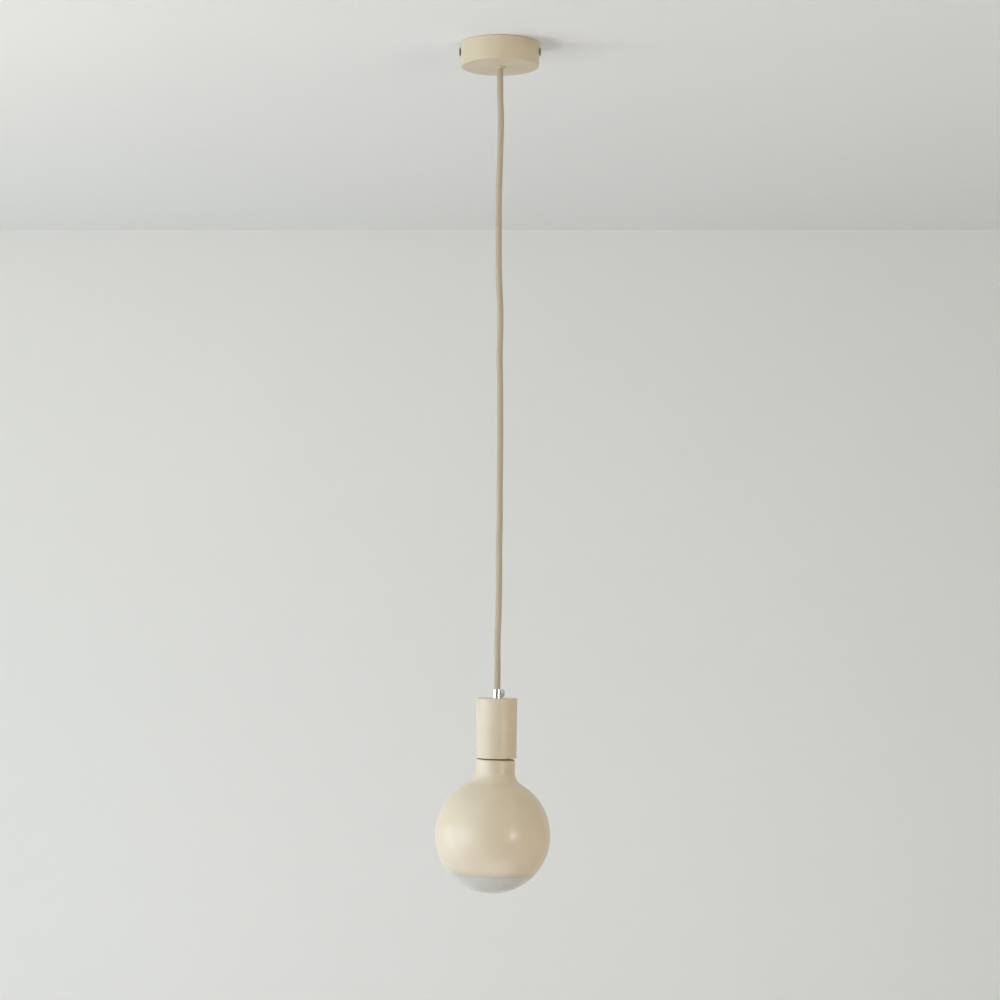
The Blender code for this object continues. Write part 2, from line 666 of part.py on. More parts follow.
def make_cord_anchor():
    """Collar that rests on the bush and carries the lamp by the cord, with its screw."""
    outer = CORD_BORE + ANCHOR_WALL
    profile = [
        (CORD_BORE, ANCHOR_TOP),
        (outer - ANCHOR_EDGE, ANCHOR_TOP),
        (outer, ANCHOR_TOP - ANCHOR_EDGE),
        (outer, ANCHOR_BOTTOM),
        (CORD_BORE, ANCHOR_BOTTOM),
    ]
    anchor = turned("cord_anchor", profile, WHITE_NYLON, segments=SEGMENTS_MEDIUM)
    middle = (ANCHOR_TOP + ANCHOR_BOTTOM) / 2
    drill(anchor, ANCHOR_SCREW_RADIUS + BORE_CLEARANCE, (CORD_RADIUS, 0, middle),
          (outer + OVERCUT, 0, middle))
    screw("anchor_screw", (outer + SEAT_GAP, 0, middle), (1, 0, 0), ZINC_STEEL,
          ANCHOR_HEAD_RADIUS, ANCHOR_HEAD_HEIGHT, ANCHOR_SCREW_RADIUS, ANCHOR_WALL,
          SIDE_SLOT_WIDTH, SIDE_SLOT_DEPTH)


def pole_places():
    """X of each pole of the terminal block."""
    return [(i - (POLE_COUNT - 1) / 2) * POLE_PITCH for i in range(POLE_COUNT)]


def make_terminal_block():
    """Moulded block with a brass tube and two clamping screws for each pole."""
    poles = pole_places()
    half = poles[-1] + INSERT_RADIUS + BORE_CLEARANCE + BLOCK_END_WALL
    back = BLOCK_BACK
    body = block("terminal_block", (-half, BLOCK_FRONT, BLOCK_BOTTOM), (half, back, BLOCK_TOP),
                 WHITE_NYLON, edge=BLOCK_EDGE)
    middle = (BLOCK_FRONT + back) / 2
    screw_head = BLOCK_TOP - BLOCK_SCREW_RECESS
    screw_tip = POLE_Z + CORE_RADIUS + SEAT_GAP
    hole = BLOCK_SCREW_RADIUS + BORE_CLEARANCE
    for number, x in enumerate(poles):
        drill(body, INSERT_RADIUS + BORE_CLEARANCE, (x, BLOCK_FRONT - OVERCUT, POLE_Z),
              (x, back + OVERCUT, POLE_Z))
        insert = make_insert(f"insert_{number + 1}", x, BLOCK_FRONT + INSERT_RECESS,
                             back - INSERT_RECESS)
        for row, side in enumerate((-1, 1)):
            y = middle + side * BLOCK_SCREW_SPACING / 2
            drill(body, hole, (x, y, POLE_Z), (x, y, BLOCK_TOP + OVERCUT))
            drill(insert, hole, (x, y, POLE_Z), (x, y, POLE_Z + INSERT_RADIUS + OVERCUT))
            make_block_screw(f"block_screw_{2 * number + row + 1}", x, y, screw_head, screw_tip)


def make_insert(name, x, front, back):
    """Brass tube of one pole, lying along Y."""
    profile = [(INSERT_BORE_RADIUS, back - front), (INSERT_RADIUS, back - front),
               (INSERT_RADIUS, 0.0), (INSERT_BORE_RADIUS, 0.0)]
    insert = turned(name, profile, BRASS, None, SEGMENTS_SMALL)
    lay = Vector((0, 1, 0)).to_track_quat("Z", "Y").to_matrix().to_4x4()
    insert.data.transform(Matrix.Translation((x, front, POLE_Z)) @ lay)
    return insert


def make_block_screw(name, x, y, head, tip):
    """Headless clamping screw with a slot."""
    profile = [(0.0, head), (BLOCK_SCREW_RADIUS, head), (BLOCK_SCREW_RADIUS, tip), (0.0, tip)]
    part = turned(name, profile, ZINC_STEEL, None, SEGMENTS_SMALL)
    part.data.transform(Matrix.Translation((x, y, 0)))
    side = BLOCK_SCREW_RADIUS + OVERCUT
    mill(part, (x - side, y - SIDE_SLOT_WIDTH / 4, head - SIDE_SLOT_DEPTH),
         (x + side, y + SIDE_SLOT_WIDTH / 4, head + OVERCUT))


def core_start(number):
    """Where one of the three cores leaves the cord's end, in the plane of the end."""
    angle = math.radians(90 + (number - 1) * -120)
    return CORE_RING_RADIUS * math.cos(angle), CORE_RING_RADIUS * math.sin(angle)


def make_upper_leads():
    """The cord's cores in the ceiling cup, bent over into the front of the terminal block."""
    start = CORD_TOP + SEAT_GAP
    crest = (start - BRACKET_THICKNESS) / 2 + CORE_RADIUS / 2
    inside = BLOCK_FRONT + INSERT_RECESS
    cores = (("lead_neutral_top", BLUE_PVC), ("lead_earth_top", EARTH_PVC),
             ("lead_live_top", BROWN_PVC))
    for number, (name, material) in enumerate(cores):
        x = pole_places()[number]
        x0, y0 = core_start(number)
        knots = [(x0, y0, start), (x0, y0, (crest + start) / 2)]
        knots += [(x0 + aside * (x - x0), ahead * BLOCK_FRONT, crest + down * (POLE_Z - crest))
                  for aside, ahead, down in UPPER_LEAD_ROUTE]
        knots += [(x, inside, POLE_Z), (x, inside + BLOCK_DEPTH / 3, POLE_Z)]
        tube(name, knots, CORE_RADIUS, material, spacing=1.8)


def make_bond_lead():
    """Lead from the block's earth pole, round the cup's wall, to the bracket's earth screw."""
    clamp = earth_clamp_height()
    run = CUP_RADIUS - CUP_WALL - BOND_WALL_ROOM
    pass_y = EARTH_SCREW_RADIUS + CORE_RADIUS + BORE_CLEARANCE
    knots = [(0, BLOCK_BACK - INSERT_RECESS - BLOCK_DEPTH / 4, POLE_Z), (0, BLOCK_BACK, POLE_Z)]
    for (share, degrees), drop in zip(BOND_ROUTE, BOND_DROPS):
        angle = math.radians(degrees)
        knots.append((share * run * math.sin(angle), share * run * math.cos(angle),
                      clamp + drop * (POLE_Z - clamp)))
    knots += [
        (EARTH_SCREW_X + EARTH_HEAD_RADIUS + CORE_RADIUS, pass_y + CORE_RADIUS, clamp),
        (EARTH_SCREW_X, pass_y, clamp),
        (EARTH_SCREW_X - EARTH_SCREW_RADIUS - CORE_RADIUS, pass_y, clamp),
    ]
    tube("earth_bond_lead", knots, CORE_RADIUS, EARTH_PVC, spacing=1.8)


def make_cord():
    """The cord from inside the ceiling cup to inside the holder's dome."""
    knots = [(0.0, 0.0, CORD_TOP), (0.0, 0.0, ANCHOR_BOTTOM), (0.0, 0.0, BUSH_BOTTOM)]
    knots += [(x, 0.0, -drop) for drop, x in CORD_ROUTE]
    for height in (GRIP_LENGTH, 0.0, -CORD_END_IN_HOLDER):
        knots.append((HOLDER_AXIS_X + height * math.sin(HOLDER_LEAN), 0.0,
                      -HOLDER_TOP_DROP + height * math.cos(HOLDER_LEAN)))
    tube("cord", knots, CORD_RADIUS, TEXTILE, spacing=CORD_POINT_SPACING, resolution=3)


def make_cord_grip(holder):
    """Turned grip: barrel, flange on the holder cup, and threaded shank below it."""
    barrel = GRIP_BORE + GRIP_WALL
    flange_top = SEAT_GAP + GRIP_FLANGE_HEIGHT
    edge = GRIP_WALL / 3
    profile = [
        (GRIP_BORE, GRIP_LENGTH),
        (barrel - edge, GRIP_LENGTH),
        (barrel, GRIP_LENGTH - edge),
        (barrel, flange_top),
        (GRIP_FLANGE_RADIUS, flange_top),
        (GRIP_FLANGE_RADIUS, SEAT_GAP),
        (SHANK_RADIUS, SEAT_GAP),
        (SHANK_RADIUS, -SHANK_END),
        (GRIP_BORE, -SHANK_END),
    ]
    grip = turned("cord_grip", profile, POLISHED_STEEL, holder, SEGMENTS_MEDIUM)
    height = GRIP_SCREW_DEPTH
    drill(grip, GRIP_SCREW_RADIUS + BORE_CLEARANCE, (CORD_RADIUS / 2, 0, height),
          (barrel + OVERCUT, 0, height))
    screw("grip_screw", (barrel + SEAT_GAP, 0, height), (1, 0, 0), POLISHED_STEEL,
          GRIP_HEAD_RADIUS, GRIP_HEAD_HEIGHT, GRIP_SCREW_RADIUS, GRIP_WALL,
          GRIP_SCREW_SLOT, GRIP_SCREW_SLOT, holder, domed=True)


def make_holder_shell(holder):
    """Deep drawn cup over the lamp holder, hung by the grip's flange."""
    corner = (SHELL_RADIUS - SHELL_EDGE_RADIUS, -SHELL_EDGE_RADIUS)
    profile = [(SHANK_HOLE_RADIUS, 0.0)]
    profile += arc(corner, SHELL_EDGE_RADIUS, 90, 0)
    profile += [
        (SHELL_RADIUS, -SHELL_HEIGHT + SHELL_RIM_CHAMFER),
        (SHELL_RADIUS - SHELL_RIM_CHAMFER, -SHELL_HEIGHT),
        (SHELL_RADIUS - SHELL_WALL, -SHELL_HEIGHT),
    ]
    profile += arc(corner, SHELL_EDGE_RADIUS - SHELL_WALL, 0, 90, 2)
    profile += [(SHANK_HOLE_RADIUS, -SHELL_WALL)]
    turned("holder_shell", profile, BEIGE_PAINT, holder, SEGMENTS_LARGE)


def make_tag_and_nut(holder):
    """Earth tag and hexagon nut that clamp the dome and the cup on the grip's shank."""
    ring = SHANK_HOLE_RADIUS + TAG_RING_WIDTH
    half_tail = math.degrees(math.asin(TAG_TAIL_WIDTH / 2 / ring))
    outline = arc((0, 0), ring, 90 + half_tail, 450 - half_tail, SEGMENTS_SMALL)
    outline += [(TAG_TAIL_WIDTH / 2, TAG_TAIL_REACH), (-TAG_TAIL_WIDTH / 2, TAG_TAIL_REACH)]
    flat_plate("earth_tag", outline, SHANK_HOLE_RADIUS, SEGMENTS_SMALL, TAG_TOP, TAG_THICKNESS,
               BRASS, holder)
    corner = (SHANK_HOLE_RADIUS + NUT_WALL) / math.cos(math.pi / 6)
    hexagon = arc((0, 0), corner, 0, 300, 5)
    flat_plate("clamp_nut", hexagon, SHANK_HOLE_RADIUS, SEGMENTS_SMALL, NUT_TOP, NUT_THICKNESS,
               ZINC_STEEL, holder)


def make_holder_dome(holder):
    """Moulded dome with the hole for the shank, over the sleeve's spigot."""
    outer_corner = (DOME_RADIUS - DOME_CORNER_RADIUS, DOME_TOP - DOME_CORNER_RADIUS)
    inner_radius = DOME_CORNER_RADIUS - DOME_WALL
    inner_corner = (DOME_BORE - inner_radius, DOME_CEILING - inner_radius)
    profile = [(SHANK_HOLE_RADIUS, DOME_TOP)]
    profile += arc(outer_corner, DOME_CORNER_RADIUS, 90, 0, 5)
    profile += [(DOME_RADIUS, DOME_BOTTOM), (DOME_BORE, DOME_BOTTOM)]
    profile += arc(inner_corner, inner_radius, 0, 90, 5)
    profile += [(SHANK_HOLE_RADIUS, DOME_CEILING)]
    turned("holder_dome", profile, BLACK_MOULDING, holder)


def make_contact_carrier(holder):
    """Ceramic insert: a disc with two terminal notches over a rim that holds the screw shell."""
    rim_bore = CARRIER_RADIUS - CARRIER_RIM_WALL
    profile = [
        (0.0, CARRIER_TOP),
        (CARRIER_RADIUS - CARRIER_EDGE, CARRIER_TOP),
        (CARRIER_RADIUS, CARRIER_TOP - CARRIER_EDGE),
        (CARRIER_RADIUS, CARRIER_RIM_BOTTOM),
        (rim_bore, CARRIER_RIM_BOTTOM),
        (rim_bore, CARRIER_DISC_BOTTOM),
        (0.0, CARRIER_DISC_BOTTOM),
    ]
    carrier = turned("contact_carrier", profile, CERAMIC, holder)
    inner = TERMINAL_X - CLAMP_SIZE[0] / 2 - SEAT_GAP
    half_width = CLAMP_SIZE[1] / 2 + SEAT_GAP
    outer = CARRIER_RADIUS + OVERCUT
    for side in (-1, 1):
        low = (min(side * inner, side * outer), -half_width, NOTCH_FLOOR)
        high = (max(side * inner, side * outer), half_width, CARRIER_TOP + OVERCUT)
        mill(carrier, low, high)
        drill(carrier, RIVET_RADIUS + BORE_CLEARANCE,
              (side * TERMINAL_X, 0, CARRIER_DISC_BOTTOM - OVERCUT),
              (side * TERMINAL_X, 0, NOTCH_FLOOR + OVERCUT))


def make_terminals(holder):
    """Brass clamps with their screws, and the rivets that join them to the contacts."""
    half_x, half_y = CLAMP_SIZE[0] / 2, CLAMP_SIZE[1] / 2
    wire_hole = CORE_RADIUS + BORE_CLEARANCE
    screw_height = CLAMP_TOP - CLAMP_SCREW_DEPTH
    rivet_underside = STRIP_TOP - STRIP_THICKNESS - SEAT_GAP
    for pole, side in (("live", 1), ("neutral", -1)):
        x = side * TERMINAL_X
        face = x + side * half_x
        clamp = block(f"clamp_{pole}", (x - half_x, -half_y, CLAMP_BOTTOM),
                      (x + half_x, half_y, CLAMP_TOP), BRASS, holder)
        drill(clamp, wire_hole, (x, 0, CLAMP_TOP + OVERCUT), (x, 0, CLAMP_TOP - CLAMP_BORE_DEPTH))
        drill(clamp, CLAMP_SCREW_RADIUS + BORE_CLEARANCE, (x, 0, screw_height),
              (face + side * OVERCUT, 0, screw_height))
        length = half_x - CORE_RADIUS
        screw(f"clamp_screw_{pole}", (face + side * SEAT_GAP, 0, screw_height), (side, 0, 0),
              ZINC_STEEL, CLAMP_HEAD_RADIUS, CLAMP_HEAD_HEIGHT, CLAMP_SCREW_RADIUS, length,
              SIDE_SLOT_WIDTH / 2, SIDE_SLOT_DEPTH, holder)
        profile = [
            (0.0, NOTCH_FLOOR), (RIVET_RADIUS, NOTCH_FLOOR), (RIVET_RADIUS, rivet_underside),
            (RIVET_HEAD_RADIUS, rivet_underside),
            (RIVET_HEAD_RADIUS / 2, rivet_underside - RIVET_HEAD_HEIGHT),
            (0.0, rivet_underside - RIVET_HEAD_HEIGHT),
        ]
        rivet = turned(f"contact_rivet_{pole}", profile, BRASS, holder, SEGMENTS_SMALL)
        rivet.data.transform(Matrix.Translation((x, 0, 0)))


def make_contacts(holder):
    """Spring leaf for the bulb's centre contact, and bent foot on the screw shell."""
    start = TERMINAL_X + STRIP_WIDTH / 2
    leaf_top = CAP_TIP + SEAT_GAP + STRIP_THICKNESS
    centre_path = [
        (start, STRIP_TOP), (LEAF_BEND_X, STRIP_TOP), (LEAF_HALF_LENGTH, leaf_top),
        (-LEAF_HALF_LENGTH, leaf_top), (-LEAF_TIP_REACH, leaf_top + LEAF_TIP_RISE),
    ]
    foot_top = SCREW_SHELL_TOP + SEAT_GAP + STRIP_THICKNESS
    rim_bore = CARRIER_RADIUS - CARRIER_RIM_WALL
    drop_x = TERMINAL_X + RIVET_HEAD_RADIUS + BORE_CLEARANCE + STRIP_THICKNESS
    side_path = [
        (-TERMINAL_X + STRIP_WIDTH / 2, STRIP_TOP), (-drop_x, STRIP_TOP),
        (-drop_x, foot_top), (-rim_bore + SEAT_GAP + STRIP_THICKNESS / 2, foot_top),
    ]
    for name, path, side in (("centre_contact", centre_path, 1), ("side_contact", side_path, -1)):
        width = STRIP_WIDTH if side > 0 else STRIP_WIDTH * 2 / 3
        strip = bent_strip(name, path, width, STRIP_THICKNESS, BRASS, holder)
        drill(strip, RIVET_RADIUS + BORE_CLEARANCE, (side * TERMINAL_X, 0, STRIP_TOP + OVERCUT),
              (side * TERMINAL_X, 0, STRIP_TOP - STRIP_THICKNESS - OVERCUT / 2))


def make_lower_leads(holder):
    """The cord's cores between its end in the dome and the terminals."""
    start = -CORD_END_IN_HOLDER - SEAT_GAP
    room = start - CLAMP_TOP
    bore_end = CLAMP_TOP - CLAMP_BORE_DEPTH + SEAT_GAP
    for pole, side, material in (("live", 1, BROWN_PVC), ("neutral", -1, BLUE_PVC)):
        x = side * TERMINAL_X
        x0, y0 = side * CORE_RING_RADIUS * math.cos(math.pi / 6), -CORE_RING_RADIUS / 2
        knots = [(x0, y0, start), (side * CORE_RING_RADIUS, y0, start - FIRST_DROP_SHARE * room)]
        knots += [(across * x, (1.0 - across) * y0, start - down * room)
                  for across, down in LOWER_LEAD_ROUTE]
        knots.append((x, 0, bore_end))
        tube(f"lead_{pole}_bottom", knots, CORE_RADIUS, material, holder, spacing=1.8)
    tail = TAG_TOP - TAG_THICKNESS - SEAT_GAP
    solder_y = TAG_TAIL_REACH - CORE_RADIUS
    knots = [(0, CORE_RING_RADIUS, start),
             (0, CORE_RING_RADIUS + CORE_RADIUS / 2, start - FIRST_DROP_SHARE * room)]
    knots += [(0, across * solder_y, start - down * room) for across, down in LOWER_EARTH_ROUTE]
    knots += [(0, solder_y, (2 * start + tail) / 3), (0, solder_y, tail)]
    tube("lead_earth_bottom", knots, CORE_RADIUS, EARTH_PVC, holder, spacing=1.8)


def make_holder_skirt(holder):
    """Moulded sleeve: spigot for the dome, bore for the carrier, ledge for the screw shell."""
    bore = THREAD_MEAN_RADIUS + THREAD_CLEARANCE + THREAD_AMPLITUDE + SCREW_SHELL_WALL
    bore += BORE_CLEARANCE
    shoulder = DOME_BOTTOM - SEAT_GAP
    profile = [
        (SKIRT_BORE, SPIGOT_TOP),
        (SPIGOT_RADIUS, SPIGOT_TOP),
        (SPIGOT_RADIUS, shoulder),
        (SKIRT_RADIUS, shoulder),
        (SKIRT_RADIUS, SKIRT_BOTTOM),
        (bore + SKIRT_LEAD_IN, SKIRT_BOTTOM),
        (bore, SKIRT_BOTTOM + SKIRT_LEAD_IN),
        (bore, SKIRT_LEDGE),
        (SKIRT_BORE, SKIRT_LEDGE),
    ]
    turned("holder_skirt", profile, BLACK_MOULDING, holder)


def make_screw_shell(holder):
    """Thin sleeve rolled with the female thread, with a flange on the sleeve's ledge."""
    inner = THREAD_MEAN_RADIUS + THREAD_CLEARANCE
    outer = inner + SCREW_SHELL_WALL
    under_flange = SCREW_SHELL_TOP - SCREW_SHELL_WALL
    profile = [(SCREW_SHELL_FLANGE_RADIUS, SCREW_SHELL_TOP),
               (SCREW_SHELL_FLANGE_RADIUS, under_flange)]
    rows = thread_rows(under_flange, SCREW_SHELL_BOTTOM)
    profile += [(outer, height) for height in rows]
    profile += [(inner, height) for height in reversed(rows)]
    profile += [(inner, SCREW_SHELL_TOP)]
    shell = turned("screw_shell", profile, BRASS, holder, THREAD_SEGMENTS)
    roll_thread(shell, (inner, outer), under_flange, SCREW_SHELL_BOTTOM)
    for vertex in shell.data.vertices:
        x, y, z = vertex.co
        if abs(z - SCREW_SHELL_TOP) < MERGE_DISTANCE and math.hypot(x, y) < outer:
            shrink = (inner - THREAD_AMPLITUDE) / inner
            vertex.co = (x * shrink, y * shrink, z)


def make_bulb(holder):
    """Sealed globe on its wide neck, with the metal cap, its insulator and its contact."""
    lean = add_frame("bulb_frame", (0, 0, NECK_TOP), BULB_LEAN, holder)
    make_globe(lean)
    bore = STEM_RADIUS + STEM_CLEARANCE
    bore_top = NECK_TOP + STEM_HEIGHT + CAP_SEAT_GAP + STEM_CLEARANCE
    root = THREAD_MEAN_RADIUS - THREAD_AMPLITUDE
    profile = [(0.0, CAP_TOP), (CAP_TOP_RADIUS, CAP_TOP),
               ((CAP_TOP_RADIUS + 2 * root) / 3, CAP_TOP - CAP_SHOULDER_HEIGHT / 3)]
    profile += [(THREAD_MEAN_RADIUS, height)
                for height in thread_rows(CAP_THREAD_TOP, CAP_THREAD_BOTTOM)]
    profile += [(CAP_COLLAR_RADIUS, CAP_THREAD_BOTTOM - SEAT_GAP), (CAP_COLLAR_RADIUS, CAP_RIM),
                (bore, CAP_RIM), (bore, bore_top), (0.0, bore_top)]
    cap = turned("bulb_cap", profile, CAP_METAL, holder, THREAD_SEGMENTS)
    roll_thread(cap, (THREAD_MEAN_RADIUS,), CAP_THREAD_TOP, CAP_THREAD_BOTTOM)
    seat = CAP_TOP + SEAT_GAP
    top = CAP_TIP - BUTTON_HEIGHT - SEAT_GAP
    profile = [(0.0, top), (INSULATOR_TOP_RADIUS, top), (INSULATOR_RADIUS, seat + INSULATOR_RIM),
               (INSULATOR_RADIUS, seat), (0.0, seat)]
    turned("cap_insulator", profile, BLACK_GLASS, holder, SEGMENTS_SMALL)
    profile = [(0.0, CAP_TIP), (BUTTON_RADIUS * 0.8, CAP_TIP),
               (BUTTON_RADIUS, CAP_TIP - BUTTON_HEIGHT / 2),
               (BUTTON_RADIUS, CAP_TIP - BUTTON_HEIGHT), (0.0, CAP_TIP - BUTTON_HEIGHT)]
    turned("cap_contact", profile, BRASS, holder, SEGMENTS_SMALL)


def make_globe(parent):
    """Globe, fillet, neck and stem as one turned solid, painted above and frosted below."""
    centre_z = -GLOBE_CENTRE_DROP
    fillet = (NECK_RADIUS + NECK_FILLET_RADIUS, -NECK_STRAIGHT)
    shoulder = (NECK_RADIUS - NECK_SHOULDER_RADIUS, -NECK_SHOULDER_RADIUS)
    meet = math.degrees(math.atan2(fillet[1] - centre_z, fillet[0]))
    paint_edge = -math.degrees(math.asin(FROST_EDGE_BELOW_CENTRE / GLOBE_RADIUS))
    painted_steps = round(GLOBE_ARC_STEPS * (meet - paint_edge) / (meet + 90))
    profile = [(0.0, STEM_HEIGHT), (STEM_RADIUS, STEM_HEIGHT), (STEM_RADIUS, 0.0)]
    profile += arc(shoulder, NECK_SHOULDER_RADIUS, 90, 0)
    profile += arc(fillet, NECK_FILLET_RADIUS, 180, 180 + meet, 5)
    profile += arc((0.0, centre_z), GLOBE_RADIUS, meet, paint_edge, painted_steps)[1:]
    profile += arc((0.0, centre_z), GLOBE_RADIUS, paint_edge, -90,
                   GLOBE_ARC_STEPS - painted_steps)[1:-1]
    profile += [(0.0, centre_z - GLOBE_RADIUS)]
    globe = turned("bulb_globe", profile, BULB_PAINT, parent, SEGMENTS_GLOBE)
    globe.data.materials.append(FROSTED_GLASS)
    frost_height = centre_z - FROST_EDGE_BELOW_CENTRE
    for face in globe.data.polygons:
        face.material_index = int(face.center.z < frost_height)


def build():
    """Make every sub-part."""
    make_canopy()
    make_bracket()
    make_side_screws()
    make_earth_screw()
    make_outlet_bush()
    make_cord_anchor()
    make_terminal_block()
    make_upper_leads()
    make_bond_lead()
    make_cord()
    holder = add_frame("holder_frame", (HOLDER_AXIS_X, 0, -HOLDER_TOP_DROP), HOLDER_LEAN)
    make_cord_grip(holder)
    make_holder_shell(holder)
    make_tag_and_nut(holder)
    make_holder_dome(holder)
    make_contact_carrier(holder)
    make_terminals(holder)
    make_contacts(holder)
    make_lower_leads(holder)
    make_holder_skirt(holder)
    make_screw_shell(holder)
    make_bulb(holder)


build()
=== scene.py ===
# %% [markdown]
# # Dressing a pendant light
#
# The model of this lamp is already built and packed: every piece has its place and its size.
# This notebook gives it its looks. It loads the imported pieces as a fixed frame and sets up
# the camera. Then come the cord, the finishes, and the pieces from the ceiling cup down to
# the bulb, then the hidden pieces inside, and last the room and its light.
#
# The ceiling is the plane z = 0, the lamp hangs towards -z, and lengths are in metres.

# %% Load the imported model
import math

import bmesh
import bpy
import numpy as np
from mathutils import Matrix


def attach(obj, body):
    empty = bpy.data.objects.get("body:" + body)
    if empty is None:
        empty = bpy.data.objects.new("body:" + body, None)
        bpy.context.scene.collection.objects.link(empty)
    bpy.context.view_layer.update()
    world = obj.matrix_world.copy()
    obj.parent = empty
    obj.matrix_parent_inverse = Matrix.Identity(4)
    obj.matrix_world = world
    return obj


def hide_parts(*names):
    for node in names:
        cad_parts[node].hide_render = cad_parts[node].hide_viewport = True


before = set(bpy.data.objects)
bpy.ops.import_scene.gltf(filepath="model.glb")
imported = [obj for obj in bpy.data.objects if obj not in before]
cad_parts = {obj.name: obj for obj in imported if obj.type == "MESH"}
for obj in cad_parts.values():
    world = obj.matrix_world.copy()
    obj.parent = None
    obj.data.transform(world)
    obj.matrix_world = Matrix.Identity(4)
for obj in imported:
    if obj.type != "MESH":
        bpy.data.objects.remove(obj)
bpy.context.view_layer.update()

print("packed pieces:", len(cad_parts))

# %% [markdown]
# ## The camera
#
# The photograph looks slightly upwards at the lamp from about 2.6 m away, so the underside of
# the ceiling cup shows as a flat oval. Three things fix such a view: where the camera stands,
# how far it tilts, and how long its lens is. They were worked out from the oval of the cup,
# the drop between cup and bulb, and the line where the wall meets the ceiling. The camera
# comes before the pieces, so that every piece can be looked at from it as soon as it exists.

# %% Camera
camera_data = bpy.data.cameras.new("portrait_camera")
camera_data.lens = 85.0
camera_data.sensor_width = 36.0
camera = bpy.data.objects.new("portrait_camera", camera_data)
camera.location = (0.0, -2.570, -0.6286)
camera.rotation_euler = (math.radians(92.813), 0.0, 0.0)
bpy.context.scene.collection.objects.link(camera)
bpy.context.scene.camera = camera
print("lens:", camera_data.lens, "mm, tilt:", round(math.degrees(camera.rotation_euler.x) - 90, 3))

# %% [markdown]
# ## Surfaces from arrays
#
# A surface can be drawn by hand, or turned with a modifier, or worked out. Here it is worked
# out: two parameters run over a grid, a formula gives the point for each pair, and numpy does
# the whole grid at once. One helper then turns any such grid into a mesh. It joins the last
# column to the first where the surface closes round, and it writes a UV map from the same two
# parameters, so a weave can later follow the surface.

# %% Grid to mesh
def grid_mesh(name, points, uv=None, closed_rows=False):
    """Mesh from an array of points, rows x columns x 3, whose columns close round.

    Face (i, j) joins points (i, j), (i, j+1), (i+1, j+1) and (i+1, j), with j+1 taken
    modulo the column count, and likewise i+1 if the rows close too.
    """
    rows, columns, _ = points.shape
    i, j = np.meshgrid(np.arange(rows if closed_rows else rows - 1), np.arange(columns),
                       indexing="ij")
    i, j = i.ravel(), j.ravel()
    i2, j2 = (i + 1) % rows, (j + 1) % columns
    corners = np.stack([i * columns + j, i * columns + j2, i2 * columns + j2, i2 * columns + j], 1)
    mesh = bpy.data.meshes.new(name)
    mesh.from_pydata(points.reshape(-1, 3), [], corners)
    layer = mesh.uv_layers.new(name="surface")
    if uv is None:
        uv = np.arange(rows) / (rows - 1)
    first = np.stack([j / columns, uv[i]], 1)
    right, drop = np.array([1.0 / columns, 0.0]), (uv[i2] - uv[i])[:, None] * (0.0, 1.0)
    loops = np.stack([first, first + right, first + right + drop, first + drop], 1)
    layer.data.foreach_set("uv", loops.ravel())
    return mesh


def smooth(mesh, angle=35.0):
    """Shade smooth, with a crease wherever two faces meet at more than this angle."""
    mesh.shade_smooth()
    mesh.set_sharp_from_angle(angle=math.radians(angle))
    return mesh


print("a surface is rows x columns of points")

# %% [markdown]
# ## The cord
#
# A textile cord is a round mains lead in a braided sleeve. It was wound up when it was packed,
# and the lamp is light, so it keeps a few soft waves as it hangs. The route below repeats the
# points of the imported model. A curve object with a round bevel could follow them, but a mesh
# tube lets the braid follow the surface: its UV runs round the cord and along its real length.
#
# The smooth line through the points is a chain of cubics: between two knots it is a cubic
# that leaves the first knot in the direction of the line between its neighbours.

# %% Route of the cord
CORD_RADIUS = 0.0035
CUP_HEIGHT = 0.0257
CORD_EXIT = -0.0275
HOLDER_LEAN = math.radians(1.0)
HOLDER_TOP = np.array([-0.0033, 0.0, -0.7175])
GRIP_LENGTH = 0.0097

WAVES = np.array([
    (0.0589, 0.0002), (0.0853, 0.0010), (0.1177, 0.0001), (0.1422, -0.0006), (0.1668, -0.0014),
    (0.1962, -0.0016), (0.2354, -0.0015), (0.2629, -0.0011), (0.2894, 0.0001), (0.3139, 0.0002),
    (0.3463, -0.0005), (0.3728, -0.0001), (0.4316, 0.0001), (0.4905, -0.0004),
    (0.5199, -0.0004), (0.5494, -0.0011), (0.5788, -0.0011), (0.6033, -0.0013),
    (0.6278, -0.0018), (0.6573, -0.0029), (0.6867, -0.0028),
])


def along_holder(heights):
    """Points on the holder's axis: its top plus height times (sin lean, 0, cos lean)."""
    direction = np.array([math.sin(HOLDER_LEAN), 0.0, math.cos(HOLDER_LEAN)])
    return HOLDER_TOP + np.outer(heights, direction)


def smooth_line(knots, spacing):
    """Evenly spaced points on the chain of cubics through the knots."""
    knots = np.asarray(knots, dtype=float)
    padded = np.vstack([2 * knots[0] - knots[1], knots, 2 * knots[-1] - knots[-2]])
    a, b, c, d = (padded[k:len(padded) - 3 + k, None, :] for k in range(4))
    s = np.linspace(0, 1, 24, endpoint=False)[None, :, None]
    dense = 0.5 * (2 * b + (c - a) * s + (2 * a - 5 * b + 4 * c - d) * s ** 2
                   + (3 * b - a - 3 * c + d) * s ** 3)
    dense = np.vstack([dense.reshape(-1, 3), knots[-1:]])
    travelled = np.concatenate([[0.0], np.cumsum(np.linalg.norm(np.diff(dense, axis=0), axis=1))])
    marks = np.linspace(0, travelled[-1], max(2, round(travelled[-1] / spacing) + 1))
    return np.column_stack([np.interp(marks, travelled, dense[:, k]) for k in range(3)])


print("measured waves of the cord:", len(WAVES))

